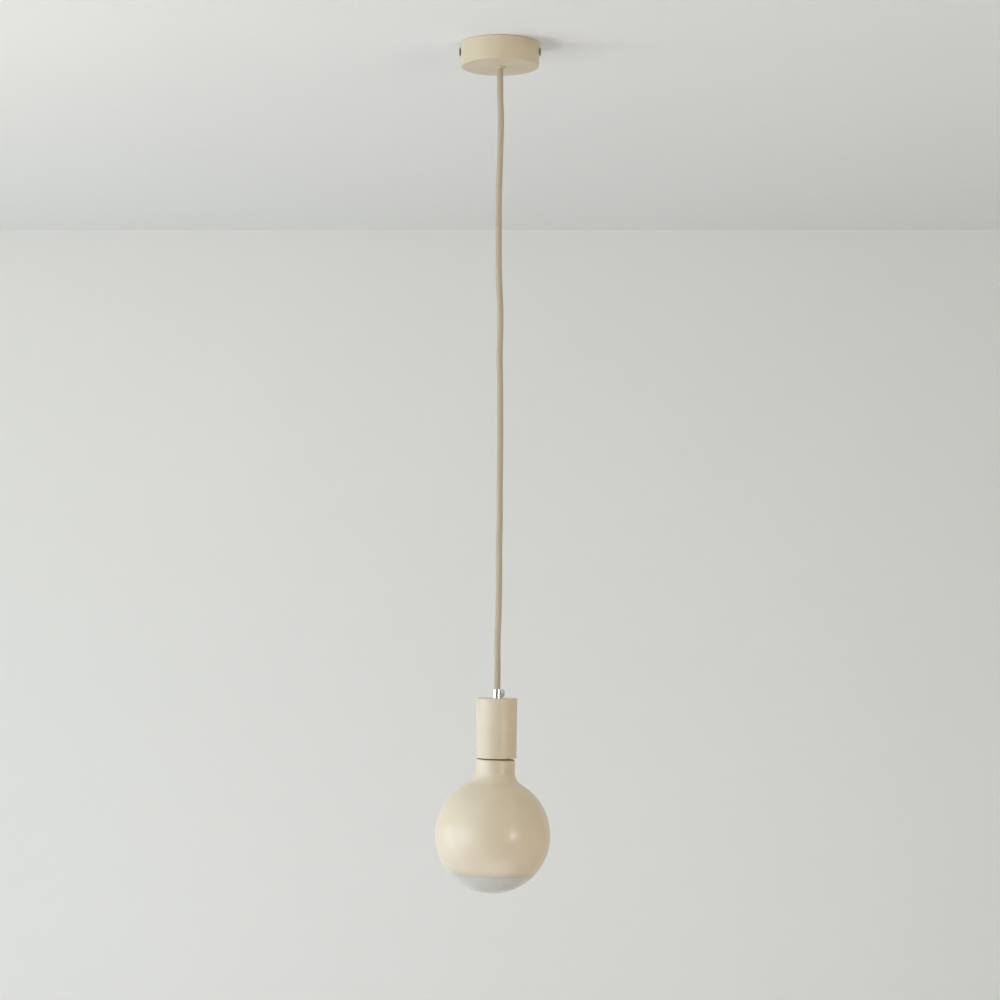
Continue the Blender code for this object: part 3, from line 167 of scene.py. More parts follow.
# %% The cord's line
cord_knots = np.vstack([
    [(0.0, 0.0, -0.0104), (0.0, 0.0, -0.0224), (0.0, 0.0, CORD_EXIT)],
    np.column_stack([WAVES[:, 1], np.zeros(len(WAVES)), -WAVES[:, 0]]),
    along_holder([GRIP_LENGTH, 0.0, -0.011]),
])
cord_line = smooth_line(cord_knots, 0.0012)

# %% [markdown]
# A tube carries a circle along the line. At each point the circle needs two directions across
# the line. They come from one fixed direction that is never along the line, made square to the
# tangent, so the tube does not twist. The ends are closed with small domed rings.

# %% Tube along a line
def tube_mesh(name, line, radius, columns, across=(0.0, 1.0, 0.0), cap=0.25):
    """Point (i, j) is line i plus radius times (cos angle j, sin angle j) across the line.

    The first and last rings shrink to the axis over three steps, which closes the ends.
    """
    tangent = np.gradient(line, axis=0)
    tangent /= np.linalg.norm(tangent, axis=1)[:, None]
    side = np.cross(tangent, np.asarray(across, dtype=float))
    side /= np.linalg.norm(side, axis=1)[:, None]
    other = np.cross(side, tangent)
    shrink = np.array([0.0, 0.55, 0.88])
    radii = np.concatenate([radius * shrink, np.full(len(line), radius), radius * shrink[::-1]])
    pull = np.array([cap, cap * 0.7, cap * 0.25]) * radius
    centres = np.vstack([line[0] - tangent[0] * (pull[:, None] - pull[0]), line,
                         line[-1] + tangent[-1] * (pull[::-1, None] - pull[0])])
    side = np.vstack([np.repeat(side[:1], 3, 0), side, np.repeat(side[-1:], 3, 0)])
    other = np.vstack([np.repeat(other[:1], 3, 0), other, np.repeat(other[-1:], 3, 0)])
    angle = np.linspace(0, math.tau, columns, endpoint=False)
    ring = (np.cos(angle)[None, :, None] * side[:, None, :]
            + np.sin(angle)[None, :, None] * other[:, None, :])
    points = centres[:, None, :] + radii[:, None, None] * ring
    steps = np.linalg.norm(np.diff(centres, axis=0), axis=1)
    mesh = grid_mesh(name, points, uv=np.concatenate([[0.0], np.cumsum(steps)]))
    return weld(mesh)


def weld(mesh, distance=0.000002, fill=False):
    """Merge points that coincide, drop what has no area, and turn all faces outwards.

    With fill, each open end is closed first, by one flat face.
    """
    work = bmesh.new()
    work.from_mesh(mesh)
    if fill:
        bmesh.ops.holes_fill(work, edges=[e for e in work.edges if e.is_boundary])
    bmesh.ops.remove_doubles(work, verts=work.verts, dist=distance)
    bmesh.ops.dissolve_degenerate(work, edges=work.edges, dist=distance / 4)
    bmesh.ops.recalc_face_normals(work, faces=work.faces)
    work.to_mesh(mesh)
    work.free()
    return mesh


cord_mesh = smooth(tube_mesh("cord_sleeve", cord_line, CORD_RADIUS, 40))
print("cord mesh:", len(cord_mesh.polygons), "faces")

# %% [markdown]
# ## Materials from nodes
#
# Every finish here is worked out by a small network of nodes, so it needs no picture files and
# has detail at any distance. A finish is mostly three things: its colour with the slight
# unevenness that real coats have, how sharp its reflections are, and the fine relief that
# breaks them up. The helpers below keep each network short enough to read in one look. The
# first works on any tree of nodes, also the sky's, and the second adds what a surface needs.

# %% A network of nodes
class Network:
    """A tree of nodes, with short ways to add and join them."""

    def __init__(self, tree):
        self.tree = tree

    def feed(self, socket, value):
        """Link a node's output to an input, or set the input to a number or a colour."""
        if isinstance(value, bpy.types.NodeSocket):
            self.tree.links.new(value, socket)
        elif socket.type == "RGBA":
            socket.default_value = (*value, 1.0)
        else:
            socket.default_value = value

    def node(self, kind, inputs=(), **settings):
        """Add a node, set its options, and feed its inputs."""
        node = self.tree.nodes.new(kind)
        for name, value in settings.items():
            setattr(node, name, value)
        for key, value in dict(inputs).items():
            self.feed(node.inputs[key], value)
        return node

    def span(self, value, low=0.0, high=1.0, low_in=0.3, high_in=0.7):
        """Stretch a value from one range to another, held inside it."""
        return self.node("ShaderNodeMapRange", {
            "Value": value, "From Min": low_in, "From Max": high_in, "To Min": low,
            "To Max": high}).outputs["Result"]

    def blend(self, share, first, second, kind="RGBA"):
        """Mix two colours, or two numbers, by a share."""
        return self.node("ShaderNodeMix", {"Factor": share, "A": first, "B": second},
                         data_type=kind).outputs["Result"]


print("a network feeds, spans and blends")

# %% A finish
class Finish(Network):
    """A material: its network, with the shader and what a surface needs."""

    def __init__(self, name, colour, roughness, metallic=0.0, **sockets):
        self.material = bpy.data.materials.new(name)
        self.material.use_nodes = True
        super().__init__(self.material.node_tree)
        self.shader = self.tree.nodes["Principled BSDF"]
        sockets.update(Base_Color=colour, Roughness=roughness, Metallic=metallic)
        for socket, value in sockets.items():
            self.feed(self.shader.inputs[socket.replace("_", " ")], value)
        self.bump = None

    def maths(self, operation, a, b=0.0, c=0.0):
        """One step of arithmetic on sockets or numbers."""
        return self.node("ShaderNodeMath", {0: a, 1: b, 2: c}, operation=operation).outputs[0]

    def place(self):
        """Where a point lies on the piece, in metres."""
        return self.node("ShaderNodeTexCoord").outputs["Object"]

    def noise(self, scale, detail=2.0, roughness=0.5):
        """Soft random values of about 1 / scale metres across."""
        return self.node("ShaderNodeTexNoise", {
            "Vector": self.place(), "Scale": scale, "Detail": detail,
            "Roughness": roughness}).outputs["Fac"]

    def along_surface(self, axis):
        """The surface's own map: X is the share of a turn, Y the length along it."""
        uv = self.node("ShaderNodeUVMap", uv_map="surface").outputs["UV"]
        return self.node("ShaderNodeSeparateXYZ", {"Vector": uv}).outputs[axis]

    def colour(self, value):
        """Give the surface its colour."""
        self.feed(self.shader.inputs["Base Color"], value)

    def rough(self, value):
        """Give the surface its roughness."""
        self.feed(self.shader.inputs["Roughness"], value)

    def relief(self, height, depth):
        """Add relief: a height from 0 to 1 times this depth in metres."""
        inputs = {"Height": height, "Distance": depth, "Strength": 1.0}
        if self.bump:
            inputs["Normal"] = self.bump
        self.bump = self.node("ShaderNodeBump", inputs).outputs["Normal"]
        self.feed(self.shader.inputs["Normal"], self.bump)


print("finishes are built from nodes")

# %% [markdown]
# ## Beige paint
#
# The two metal cups and the bulb wear the same warm beige lacquer. It is satin: broad soft
# highlights, no mirror image. Sprayed lacquer is never quite flat. It has an orange peel of about a
# millimetre, a slower unevenness in how thick it lies, and fine dust in the coat. One builder makes
# it for both metal and glass, with the glass a little smoother. The lacquer comes in three tones:
# the ceiling cup's darker tone is painted shade, and the bulb's lighter tone is painted light.

# %% Paint
# One lacquer in three tones: the ceiling cup's is darker, painted shade, and the bulb's is lighter,
# painted light.
CUP_LACQUER_SHADED = (0.645, 0.554, 0.400)
HOLDER_COLOUR = (0.67, 0.58, 0.435)
BULB_LACQUER_LIT = (0.687, 0.597, 0.447)


def shaded(colour, factors):
    """A colour scaled by one factor, or each of its parts by its own."""
    return tuple(float(part) for part in np.multiply(colour, factors))


def paint(name, colour, roughness, peel_depth):
    """Satin lacquer: two close tones, uneven gloss, orange peel and fine grain."""
    coat = Finish(name, colour, roughness)
    cloud = coat.span(coat.noise(38.0, 3.0))
    coat.tone = coat.blend(cloud, colour, shaded(colour, (0.955, 0.95, 0.93)))
    coat.colour(coat.tone)
    coat.rough(coat.span(coat.noise(160.0, 2.0), roughness - 0.015, roughness + 0.045))
    coat.relief(coat.noise(950.0, 1.0), peel_depth)
    coat.relief(coat.noise(5200.0, 1.0), peel_depth * 0.12)
    return coat


def darken_to_edge(coat, edge):
    """Darken a coat towards its edge, by the length along the profile.

    Over the last 10 mm the tone falls smoothly to a deeper one, and over the last millimetre a fine
    dark line is painted along the edge: painted shade of the step where the paint ends.
    """
    along = coat.along_surface("Y")
    thin = coat.node("ShaderNodeMapRange", {
        "Value": along, "From Min": edge - 0.010, "From Max": edge},
        interpolation_type="SMOOTHSTEP").outputs["Result"]
    deep = shaded(BULB_LACQUER_LIT, (0.80, 0.875, 0.85))
    tone = coat.blend(thin, coat.tone, deep)
    # A fine dark line along the paint's step: painted shade.
    line = coat.span(along, 0.0, 1.0, edge - 0.0011, edge - 0.0006)
    coat.colour(coat.blend(line, tone, shaded(deep, (0.84, 0.88, 0.92))))


cup_paint = paint("lacquer_on_cup", CUP_LACQUER_SHADED, 0.40, 0.00003).material
holder_paint = paint("lacquer_on_holder", HOLDER_COLOUR, 0.42, 0.00003).material
bulb_coat = paint("lacquer_on_glass", BULB_LACQUER_LIT, 0.30, 0.00001)
print("paint on the bulb:", BULB_LACQUER_LIT)

# %% [markdown]
# ## Braided textile
#
# The sleeve is braided from two sets of yarn bundles that wind round the cord in opposite
# directions, each going over two and under two of the other set. In the tube's UV map this is
# simple: u is the share of a turn and v the length, so u + v / lay and u - v / lay count the
# bundles of the two sets. A whole number of bundles for each turn makes the pattern meet itself.
# The relief, and a painted shade in the valleys between the bundles, come from the same two counts.

# %% Braid
def braid(name, light, dark, bundles=14, lay=0.024, ends=3):
    """Two crossing sets of yarn bundles, over two and under two, with fine threads in each."""
    cloth = Finish(name, light, 0.85, Sheen_Weight=0.25, Sheen_Roughness=0.5)
    turns = cloth.maths("MULTIPLY", cloth.along_surface("X"), bundles)
    climb = cloth.maths("MULTIPLY", cloth.along_surface("Y"), bundles / lay)
    a = cloth.maths("ADD", turns, climb)
    b = cloth.maths("SUBTRACT", turns, climb)
    count = cloth.maths("ADD", cloth.maths("FLOOR", a), cloth.maths("FLOOR", b))
    over = cloth.maths("LESS_THAN", cloth.maths("FLOORED_MODULO", count, 4.0), 1.5)

    def bundle(across):
        """Height across one bundle, from 0 at its edge to 1 on its crown."""
        share = cloth.maths("FRACT", across)
        return cloth.maths("SINE", cloth.maths("MULTIPLY", share, math.pi))

    def threads(across):
        """Height across the few fine threads of one bundle."""
        wave = cloth.maths("SINE", cloth.maths("MULTIPLY", across, math.tau * ends))
        return cloth.maths("ABSOLUTE", wave)

    height = cloth.blend(over, bundle(a), bundle(b), "FLOAT")
    fine = cloth.blend(over, threads(a), threads(b), "FLOAT")
    fuzz = cloth.noise(2600.0, 2.0)
    level = cloth.maths("ADD", height, cloth.maths("MULTIPLY", fine, 0.25))
    cloth.relief(level, 0.00022)
    cloth.relief(fuzz, 0.00008)
    # The valleys between bundles are painted darker than the crowns: painted shade.
    shade = cloth.maths("MULTIPLY", cloth.span(height, 0.0, 1.0, 0.1, 0.9),
                        cloth.span(fuzz, 0.75, 1.0))
    cloth.colour(cloth.blend(shade, dark, light))
    return cloth.material


finishes = {"textile": braid("braided_textile", (0.64, 0.55, 0.41), (0.42, 0.34, 0.23))}
print("braid ready")

# %% [markdown]
# ## Metals, mouldings and leads
#
# The small pieces are turned, rolled, plated or moulded. Turned steel keeps fine rings from
# the tool, plate has a soft crystalline haze, mouldings are slightly uneven in gloss, and a
# lead's insulation is smooth. The earth lead is green with a yellow stripe on each side, and
# the stripe follows the lead through its UV map. Each finish is kept under the name of the
# material slot in the record that it dresses.

# %% Metals
def metal(name, colour, roughness, haze=120.0, grain=0.000006, tarnish=0.06):
    """Metal whose gloss and tone drift a little, with a fine grain."""
    plate = Finish(name, colour, roughness, 1.0)
    drift = plate.noise(haze, 3.0)
    plate.rough(plate.span(drift, roughness - 0.05, roughness + 0.08))
    plate.colour(plate.blend(plate.span(drift), colour, shaded(colour, 1.0 - 2.0 * tarnish)))
    plate.relief(plate.noise(3500.0, 1.0), grain)
    return plate.material


finishes["polished_steel"] = metal("polished_steel", (0.80, 0.80, 0.78), 0.08, 90.0, 0.000001, 0.02)
finishes["dark_nickel"] = metal("dark_nickel", (0.30, 0.27, 0.22), 0.38)
finishes["zinc_steel"] = metal("zinc_plate", (0.58, 0.60, 0.62), 0.36, 300.0)
finishes["brass"] = metal("brass", (0.78, 0.57, 0.25), 0.28)
finishes["cap_metal"] = metal("rolled_cap_metal", (0.70, 0.70, 0.69), 0.26)
print("metals ready")

# %% Mouldings, ceramic and glass
def moulding(name, colour, roughness, grain=0.00001, shift=0.08):
    """Moulded stuff: an even tone that drifts slightly, with a faint matt grain."""
    stuff = Finish(name, colour, roughness)
    drift = stuff.span(stuff.noise(70.0, 2.0))
    stuff.colour(stuff.blend(drift, colour, shaded(colour, 1.0 - shift)))
    stuff.rough(stuff.span(stuff.noise(240.0, 2.0), roughness - 0.05, roughness + 0.06))
    stuff.relief(stuff.noise(1800.0, 2.0), grain)
    return stuff.material


finishes["cream_nylon"] = moulding("cream_nylon", (0.70, 0.62, 0.49), 0.42)
finishes["white_nylon"] = moulding("white_nylon", (0.76, 0.76, 0.73), 0.40)
finishes["black_moulding"] = moulding("black_moulding", (0.045, 0.041, 0.035), 0.42)
finishes["ceramic"] = moulding("glazed_ceramic", (0.78, 0.76, 0.71), 0.16, 0.000006, 0.05)
finishes["black_glass"] = moulding("black_glass", (0.012, 0.010, 0.016), 0.07, 0.000001)


def insulation(name, colour, stripe=None):
    """Smooth lead insulation, with a stripe along two sides of the tube if one is given."""
    skin = Finish(name, colour, 0.36)
    skin.relief(skin.noise(900.0, 1.0), 0.000008)
    drift = skin.span(skin.noise(200.0, 2.0))
    tone = skin.blend(drift, colour, shaded(colour, 0.85))
    if stripe:
        turns = skin.maths("MULTIPLY", skin.along_surface("X"), 2 * math.tau)
        wave = skin.maths("SINE", turns)
        tone = skin.blend(skin.span(wave, 0.0, 1.0, 0.25, 0.35), tone, stripe)
    skin.colour(tone)
    return skin.material


finishes["brown_pvc"] = insulation("brown_pvc", (0.13, 0.05, 0.02))
finishes["blue_pvc"] = insulation("blue_pvc", (0.02, 0.12, 0.46))
finishes["earth_pvc"] = insulation("earth_pvc", (0.03, 0.28, 0.05), (0.80, 0.62, 0.03))
print("mouldings and leads ready")

# %% [markdown]
# ## Frosted glass
#
# The lower cap of the bulb is left bare: glass that is etched inside, so it scatters light like
# thin milk, and still has the smooth gloss of glass outside. It looks pale grey because the closed
# bulb is dark inside, and that grey is painted into its colour as shade. The shader gives this with
# a pale base, some scattering under the surface, and a clear coat.

# %% Frosted glass
def frosted(name):
    """Etched glass: pale body that scatters light, under a smooth outer skin; its grey is painted
    shade of the bulb's dark inside.
    """
    # The grey of the base stands for the dark inside of the closed bulb: painted shade.
    glass = Finish(name, (0.52, 0.51, 0.46), 0.5, Coat_Weight=0.6, Coat_Roughness=0.12,
                   Subsurface_Weight=1.0, Subsurface_Radius=(1.0, 1.0, 1.0),
                   Subsurface_Scale=0.08)
    etch = glass.span(glass.noise(420.0, 3.0, 0.6))
    glass.colour(glass.blend(etch, (0.535, 0.525, 0.47), (0.50, 0.49, 0.44)))
    glass.relief(glass.noise(2400.0, 2.0), 0.000008)
    return glass.material


frosted_glass = frosted("frosted_glass")
print("frosted glass ready")

# %% [markdown]
# ## Putting pieces in the frame
#
# A new piece stands for one imported piece and hides it. It rides on the same body and wears the
# finish kept under its slot's name. Only the two cups and the bulb bring their own: each cup has
# its own tone of the lacquer, the ceiling cup's darkened as painted shade, and the bulb has lacquer
# above and frosted glass below. The place of a piece is in its points, so its object stays at the
# origin.

# %% Add a piece
def add_piece(name, mesh, slot, node, *materials):
    """Link a mesh as the piece that replaces a packed one, in its slot's finish or in others."""
    piece = bpy.data.objects.new(name, mesh)
    bpy.context.scene.collection.objects.link(piece)
    mesh.materials.clear()
    for material in materials or [finishes[slot]]:
        mesh.materials.append(material)
    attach(piece, "root")
    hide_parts(node)
    return piece


cord = add_piece("cord_sleeve", cord_mesh, "textile", "cord")
print("the cord hangs from", CORD_EXIT)

# %% [markdown]
# ## Turned surfaces with real edges
#
# Most pieces of this lamp are turned or drawn round an axis. Such a surface is a profile of
# radius and height carried round in a circle. No real edge is perfectly sharp, and a bright
# line along a small rounding is what makes metal look like metal. So each corner of a profile
# is given its own rounding: the corner is replaced by an arc that touches both sides.

# %% Rounded profiles
def rounded(corners, closed=True, steps=6):
    """Profile points from corners (radius, height, rounding).

    The arc of a corner starts at rounding / tan(half the corner's angle) before it, and its
    centre lies on the bisector at rounding / sin(half the angle). A point a little beyond
    each end of the arc keeps the flat sides flat when they are shaded smooth.
    """
    corners = [tuple(c) + (0.0,) * (3 - len(c)) for c in corners]
    places = np.array([c[:2] for c in corners])
    profile = []
    for k, corner in enumerate(corners):
        here, rounding = places[k], corner[2]
        inner = closed or 0 < k < len(corners) - 1
        if rounding <= 0 or not inner:
            profile.append(here)
            continue
        before, after = places[k - 1] - here, places[(k + 1) % len(corners)] - here
        reach_before, reach_after = np.linalg.norm(before), np.linalg.norm(after)
        before, after = before / reach_before, after / reach_after
        half = math.acos(np.clip(before @ after, -1, 1)) / 2
        touch = rounding / math.tan(half)
        bisector = (before + after) / np.linalg.norm(before + after)
        centre = here + bisector * rounding / math.sin(half)
        first, last = here + before * touch - centre, here + after * touch - centre
        start = math.atan2(first[1], first[0])
        turn = (math.atan2(last[1], last[0]) - start + math.pi) % math.tau - math.pi
        angles = start + turn * np.linspace(0, 1, steps + 1)
        arc = centre + rounding * np.column_stack([np.cos(angles), np.sin(angles)])
        ease = 0.5 * touch
        if reach_before > 2.5 * touch:
            profile.append(here + before * (touch + ease))
        profile.extend(arc)
        if reach_after > 2.5 * touch:
            profile.append(here + after * (touch + ease))
    return np.array(profile)


square = rounded([(0, 0, 0.1), (1, 0, 0.1), (1, 1, 0.1), (0, 1, 0.1)])
print("a square with rounded corners has", len(square), "points")

# %% Turning and piercing
def turn_points(radius, height, angles):
    """Point (i, j) is (radius cos angle_j, radius sin angle_j, height) at row i."""
    return np.stack(np.broadcast_arrays(radius * np.cos(angles), radius * np.sin(angles),
                                        height), 2)


def turned(name, profile, columns, place=None, closed=True):
    """Carry a profile of (radius, height) round the axis, and move it by a matrix."""
    angles = np.linspace(0, math.tau, columns, endpoint=False)
    radius, height = np.asarray(profile).T[:, :, None]
    points = turn_points(radius, height, angles)
    length = np.concatenate([[0.0], np.cumsum(np.linalg.norm(np.diff(profile, axis=0), axis=1))])
    mesh = weld(grid_mesh(name, points, uv=length, closed_rows=closed))
    if place is not None:
        mesh.transform(place)
    return smooth(mesh)


def pierce(mesh, tools):
    """Cut other closed meshes out of a mesh, and return the result as a new mesh."""
    blank = bpy.data.objects.new("blank", mesh)
    bpy.context.scene.collection.objects.link(blank)
    helpers = [blank]
    for number, tool in enumerate(tools):
        cutter = bpy.data.objects.new(f"tool_{number}", tool)
        bpy.context.scene.collection.objects.link(cutter)
        helpers.append(cutter)
        cut = blank.modifiers.new(cutter.name, "BOOLEAN")
        cut.operation, cut.solver, cut.object = "DIFFERENCE", "EXACT", cutter
    bpy.context.view_layer.update()
    finished = bpy.data.meshes.new_from_object(
        blank.evaluated_get(bpy.context.evaluated_depsgraph_get()))
    for helper in helpers:
        bpy.data.objects.remove(helper, do_unlink=True)
    finished.name = mesh.name + "_cut"
    return smooth(finished)


def facing(direction, point):
    """Matrix that lays a piece made along z towards a direction, with its origin at a point."""
    degrees, axis = {"x": (90, "Y"), "-x": (-90, "Y"), "y": (-90, "X"), "z": (0, "X"),
                     "-z": (180, "X")}[direction]
    return Matrix.Translation(point) @ Matrix.Rotation(math.radians(degrees), 4, axis)


def peg(radius, low, high, columns=48):
    """A plain closed cylinder, used to drill holes."""
    return turned("peg", [(0, high), (radius, high), (radius, low), (0, low)], columns,
                  closed=False)


print("a peg has", len(peg(0.001, 0.0, 0.01).polygons), "faces")

# %% [markdown]
# ## The ceiling cup
#
# A disc of thin steel is drawn into a cup, pierced, and sprayed. Its lower edge is rounded
# where the metal flowed over the tool, and its wall is one millimetre thick. The cup is a
# profile carried round the axis; the outlet for the cord is part of the profile, and the two
# screw holes in the side are cut afterwards.

# %% Ceiling cup
CUP_RADIUS = 0.043
SHEET = 0.001
OUTLET_RADIUS = 0.0049
SIDE_SCREW_Z = -0.0088
SIDE_SCREW_HOLE = 0.0023
cup_profile = rounded([
    (CUP_RADIUS, -0.00005, 0.0002), (CUP_RADIUS, -CUP_HEIGHT, 0.0015),
    (OUTLET_RADIUS, -CUP_HEIGHT, 0.0002), (OUTLET_RADIUS, SHEET - CUP_HEIGHT, 0.0002),
    (CUP_RADIUS - SHEET, SHEET - CUP_HEIGHT, 0.0006), (CUP_RADIUS - SHEET, -0.00005, 0.0002),
], steps=8)
cup_mesh = turned("ceiling_cup", cup_profile, 160)
side_drill = peg(SIDE_SCREW_HOLE, -0.05, 0.05)
side_drill.transform(facing("x", (0.0, 0.0, SIDE_SCREW_Z)))
cup_mesh = pierce(cup_mesh, [side_drill])
add_piece("ceiling_cup", cup_mesh, "beige_paint", "canopy", cup_paint)
print("cup:", len(cup_mesh.polygons), "faces,", 2000 * CUP_RADIUS, "mm across")

# %% [markdown]
# ## Slotted screws
#
# A slotted screw is two ideas: a turned body, and a slot milled across its head. The turned
# body is a profile; the slot is cut with a box. The two side screws carry low domed heads in
# dark nickel, and stand a little proud of the cup, which is how they show in the photograph.

# %% Shape of a slotted screw
def slab(low, high):
    """A plain box between two corners, used to mill slots."""
    low, high = np.array(low), np.array(high)
    share = np.array([[x, y, z] for x in (0, 1) for y in (0, 1) for z in (0, 1)])
    faces = [(0, 1, 3, 2), (4, 6, 7, 5), (0, 4, 5, 1), (2, 3, 7, 6), (0, 2, 6, 4), (1, 5, 7, 3)]
    mesh = bpy.data.meshes.new("slab")
    mesh.from_pydata(low + share * (high - low), [], faces)
    return mesh


def screw_mesh(name, head_radius, head_height, radius, length, slot_width, slot_depth,
               domed=True, columns=64):
    """Head from the seat at z = 0 up to head_height, shank down to -length, slot along x."""
    if domed:
        rise = head_height * 0.62
        bow = (head_radius ** 2 + rise ** 2) / (2 * rise)
        reach = math.asin(head_radius / bow)
        angles = np.linspace(0, reach, 14)
        crown = np.column_stack([bow * np.sin(angles),
                                 head_height - bow * (1 - np.cos(angles))])
        head = [tuple(p) for p in crown] + [(head_radius, 0.00018), (head_radius - 0.00018, 0.0)]
    else:
        top = rounded([(0, head_height), (head_radius, head_height, 0.0004),
                       (head_radius, 0, 0.0002), (radius, 0)], closed=False)
        head = [tuple(p) for p in top[:-1]]
    profile = head + [(radius, 0.0), (radius, -length + 0.0003), (radius - 0.0003, -length),
                      (0, -length)]
    body = turned(name, profile, columns, closed=False)
    side = head_radius + 0.001
    slot = slab((-side, -slot_width / 2, head_height - slot_depth),
                (side, slot_width / 2, head_height + 0.001))
    return pierce(body, [slot])


print("a slot is cut with a box of", len(slab((0, 0, 0), (1, 1, 1)).polygons), "faces")

# %% Screws in their places
def add_screw(name, direction, point, slot, node, *sizes, **options):
    """Make a screw, turn it towards a direction, and seat it at a point.

    The sizes are the head's radius and height, the shank's radius and length, and the
    slot's width and depth.
    """
    spin = Matrix.Rotation(options.pop("spin", 0.0), 4, "Z")
    lean = options.pop("within", Matrix.Identity(4))
    mesh = screw_mesh(name, *sizes, **options)
    mesh.transform(lean @ facing(direction, point) @ spin)
    return add_piece(name, mesh, slot, node)


EARTH_SCREW_X = 0.013
ANCHOR_SCREW_Z = -0.0174
for name, direction, side in (("side_screw_left", "-x", -1), ("side_screw_right", "x", 1)):
    add_screw(f"cup_{name}", direction, (side * (CUP_RADIUS + 0.0003), 0, SIDE_SCREW_Z),
              "dark_nickel", name, 0.005, 0.0019, 0.002, 0.0068, 0.001, 0.0007,
              spin=math.radians(90 + 12 * side))
add_screw("strap_earth_screw", "-z", (EARTH_SCREW_X, 0, -0.0045), "zinc_steel",
          "earth_screw", 0.0042, 0.0022, 0.002, 0.0042, 0.001, 0.0007, domed=False, spin=0.5)
add_screw("collar_screw", "x", (0.0073, 0, ANCHOR_SCREW_Z), "zinc_steel",
          "anchor_screw", 0.0026, 0.0018, 0.0015, 0.0032, 0.0007, 0.0007, spin=0.9)
print("screws seated")

# %% [markdown]
# ## Outlet collar and cord anchor
#
# Where the cord leaves the cup it passes a small moulded collar that snaps into the outlet, so
# the metal edge can't rub the braid. Inside the cup a second, thicker collar is clamped on the
# cord and rests on the first one: it carries the weight of the lamp.

# %% Collars
CORD_BORE = 0.0038
bush_profile = rounded([
    (CORD_BORE, -0.0227, 0.0002), (0.0046, -0.0227, 0.0002), (0.0053, -0.0237, 0.0001),
    (0.0053, -0.0244, 0.0001), (0.0046, -0.0244), (0.0046, -0.0260), (0.0054, -0.0260, 0.0002),
    (0.0054, CORD_EXIT, 0.0006), (CORD_BORE, CORD_EXIT, 0.0003),
])
add_piece("outlet_collar", turned("outlet_collar", bush_profile, 64), "cream_nylon", "outlet_bush")
anchor_profile = rounded([
    (CORD_BORE, -0.0124, 0.0002), (0.0070, -0.0124, 0.0008), (0.0070, -0.0224, 0.0004),
    (CORD_BORE, -0.0224, 0.0002),
])
anchor_drill = peg(0.0018, 0.0035, 0.009)
anchor_drill.transform(facing("x", (0, 0, ANCHOR_SCREW_Z)))
anchor_mesh = pierce(turned("anchor_collar", anchor_profile, 96), [anchor_drill])
add_piece("anchor_collar", anchor_mesh, "white_nylon", "cord_anchor")
print("collars ready")

# %% [markdown]
# ## Leads
#
# Inside each end of the cord its three cores part: blue, brown, and the striped earth. They
# are thin tubes along smooth lines. A route is laid out the way an electrician would bend it:
# the core leaves the cord at its own place in the ring of three, crosses to its terminal in a
# few steps, and runs straight into it. Each step is a pair of shares, of the way across and
# of the way down, so three leads share one route.

# %% Places of the cores
CORE_RADIUS = 0.00095
CORE_RING = 0.0018
POLES = {"neutral": (-0.0085, 210), "earth": (0.0, 90), "live": (0.0085, 330)}
POLE_Z = -0.0192
BLOCK_FRONT, BLOCK_BACK = 0.018, 0.034
CLAMP_Z = -0.00315
TERMINAL_X = 0.0102
holder_place = Matrix.Translation(HOLDER_TOP) @ Matrix.Rotation(HOLDER_LEAN, 4, "Y")
core_slots = {"neutral": "blue_pvc", "earth": "earth_pvc", "live": "brown_pvc"}


def core_place(pole):
    """Where a core stands in the cord: the ring's radius at the core's own angle."""
    angle = math.radians(POLES[pole][1])
    return CORE_RING * math.cos(angle), CORE_RING * math.sin(angle)


print("poles:", ", ".join(POLES))

# %% Routes of the leads
def upper_route(pole):
    """Up out of the cord, over a crest, then back and down into the terminal block."""
    x, (x0, y0) = POLES[pole][0], core_place(pole)
    start = cord_knots[0, 2] + 0.0003
    crest = (start - 0.0018 + CORE_RADIUS) / 2
    route = [(x0, y0, start), (x0, y0, (crest + start) / 2)]
    for aside, ahead, down in ((0.25, 0.12, 0), (0.7, 0.42, 0.2), (1, 0.74, 0.58), (1, 0.93, 0.94)):
        route.append((x0 + aside * (x - x0), ahead * BLOCK_FRONT, crest + down * (POLE_Z - crest)))
    inside = BLOCK_FRONT + 0.0015
    return route + [(x, inside, POLE_Z), (x, inside + 0.0053, POLE_Z)]


def bond_route():
    """Out of the block's back, round inside the cup's wall, and up to the strap's screw.

    A step is (share of the run's radius, angle, share of the drop that is still to climb).
    """
    route = [(0, BLOCK_BACK - 0.0055, POLE_Z), (0, BLOCK_BACK, POLE_Z)]
    for share, degrees, drop in ((1, 5, 0.97), (1, 17.5, 0.89), (0.93, 35, 0.68),
                                 (0.85, 52, 0.34), (0.68, 66, 0.12)):
        angle, run = math.radians(degrees), 0.038 * share
        route.append((run * math.sin(angle), run * math.cos(angle),
                      CLAMP_Z + drop * (POLE_Z - CLAMP_Z)))
    return route + [(0.01815, 0.0042, CLAMP_Z), (EARTH_SCREW_X, 0.00325, CLAMP_Z),
                    (0.01005, 0.00325, CLAMP_Z)]


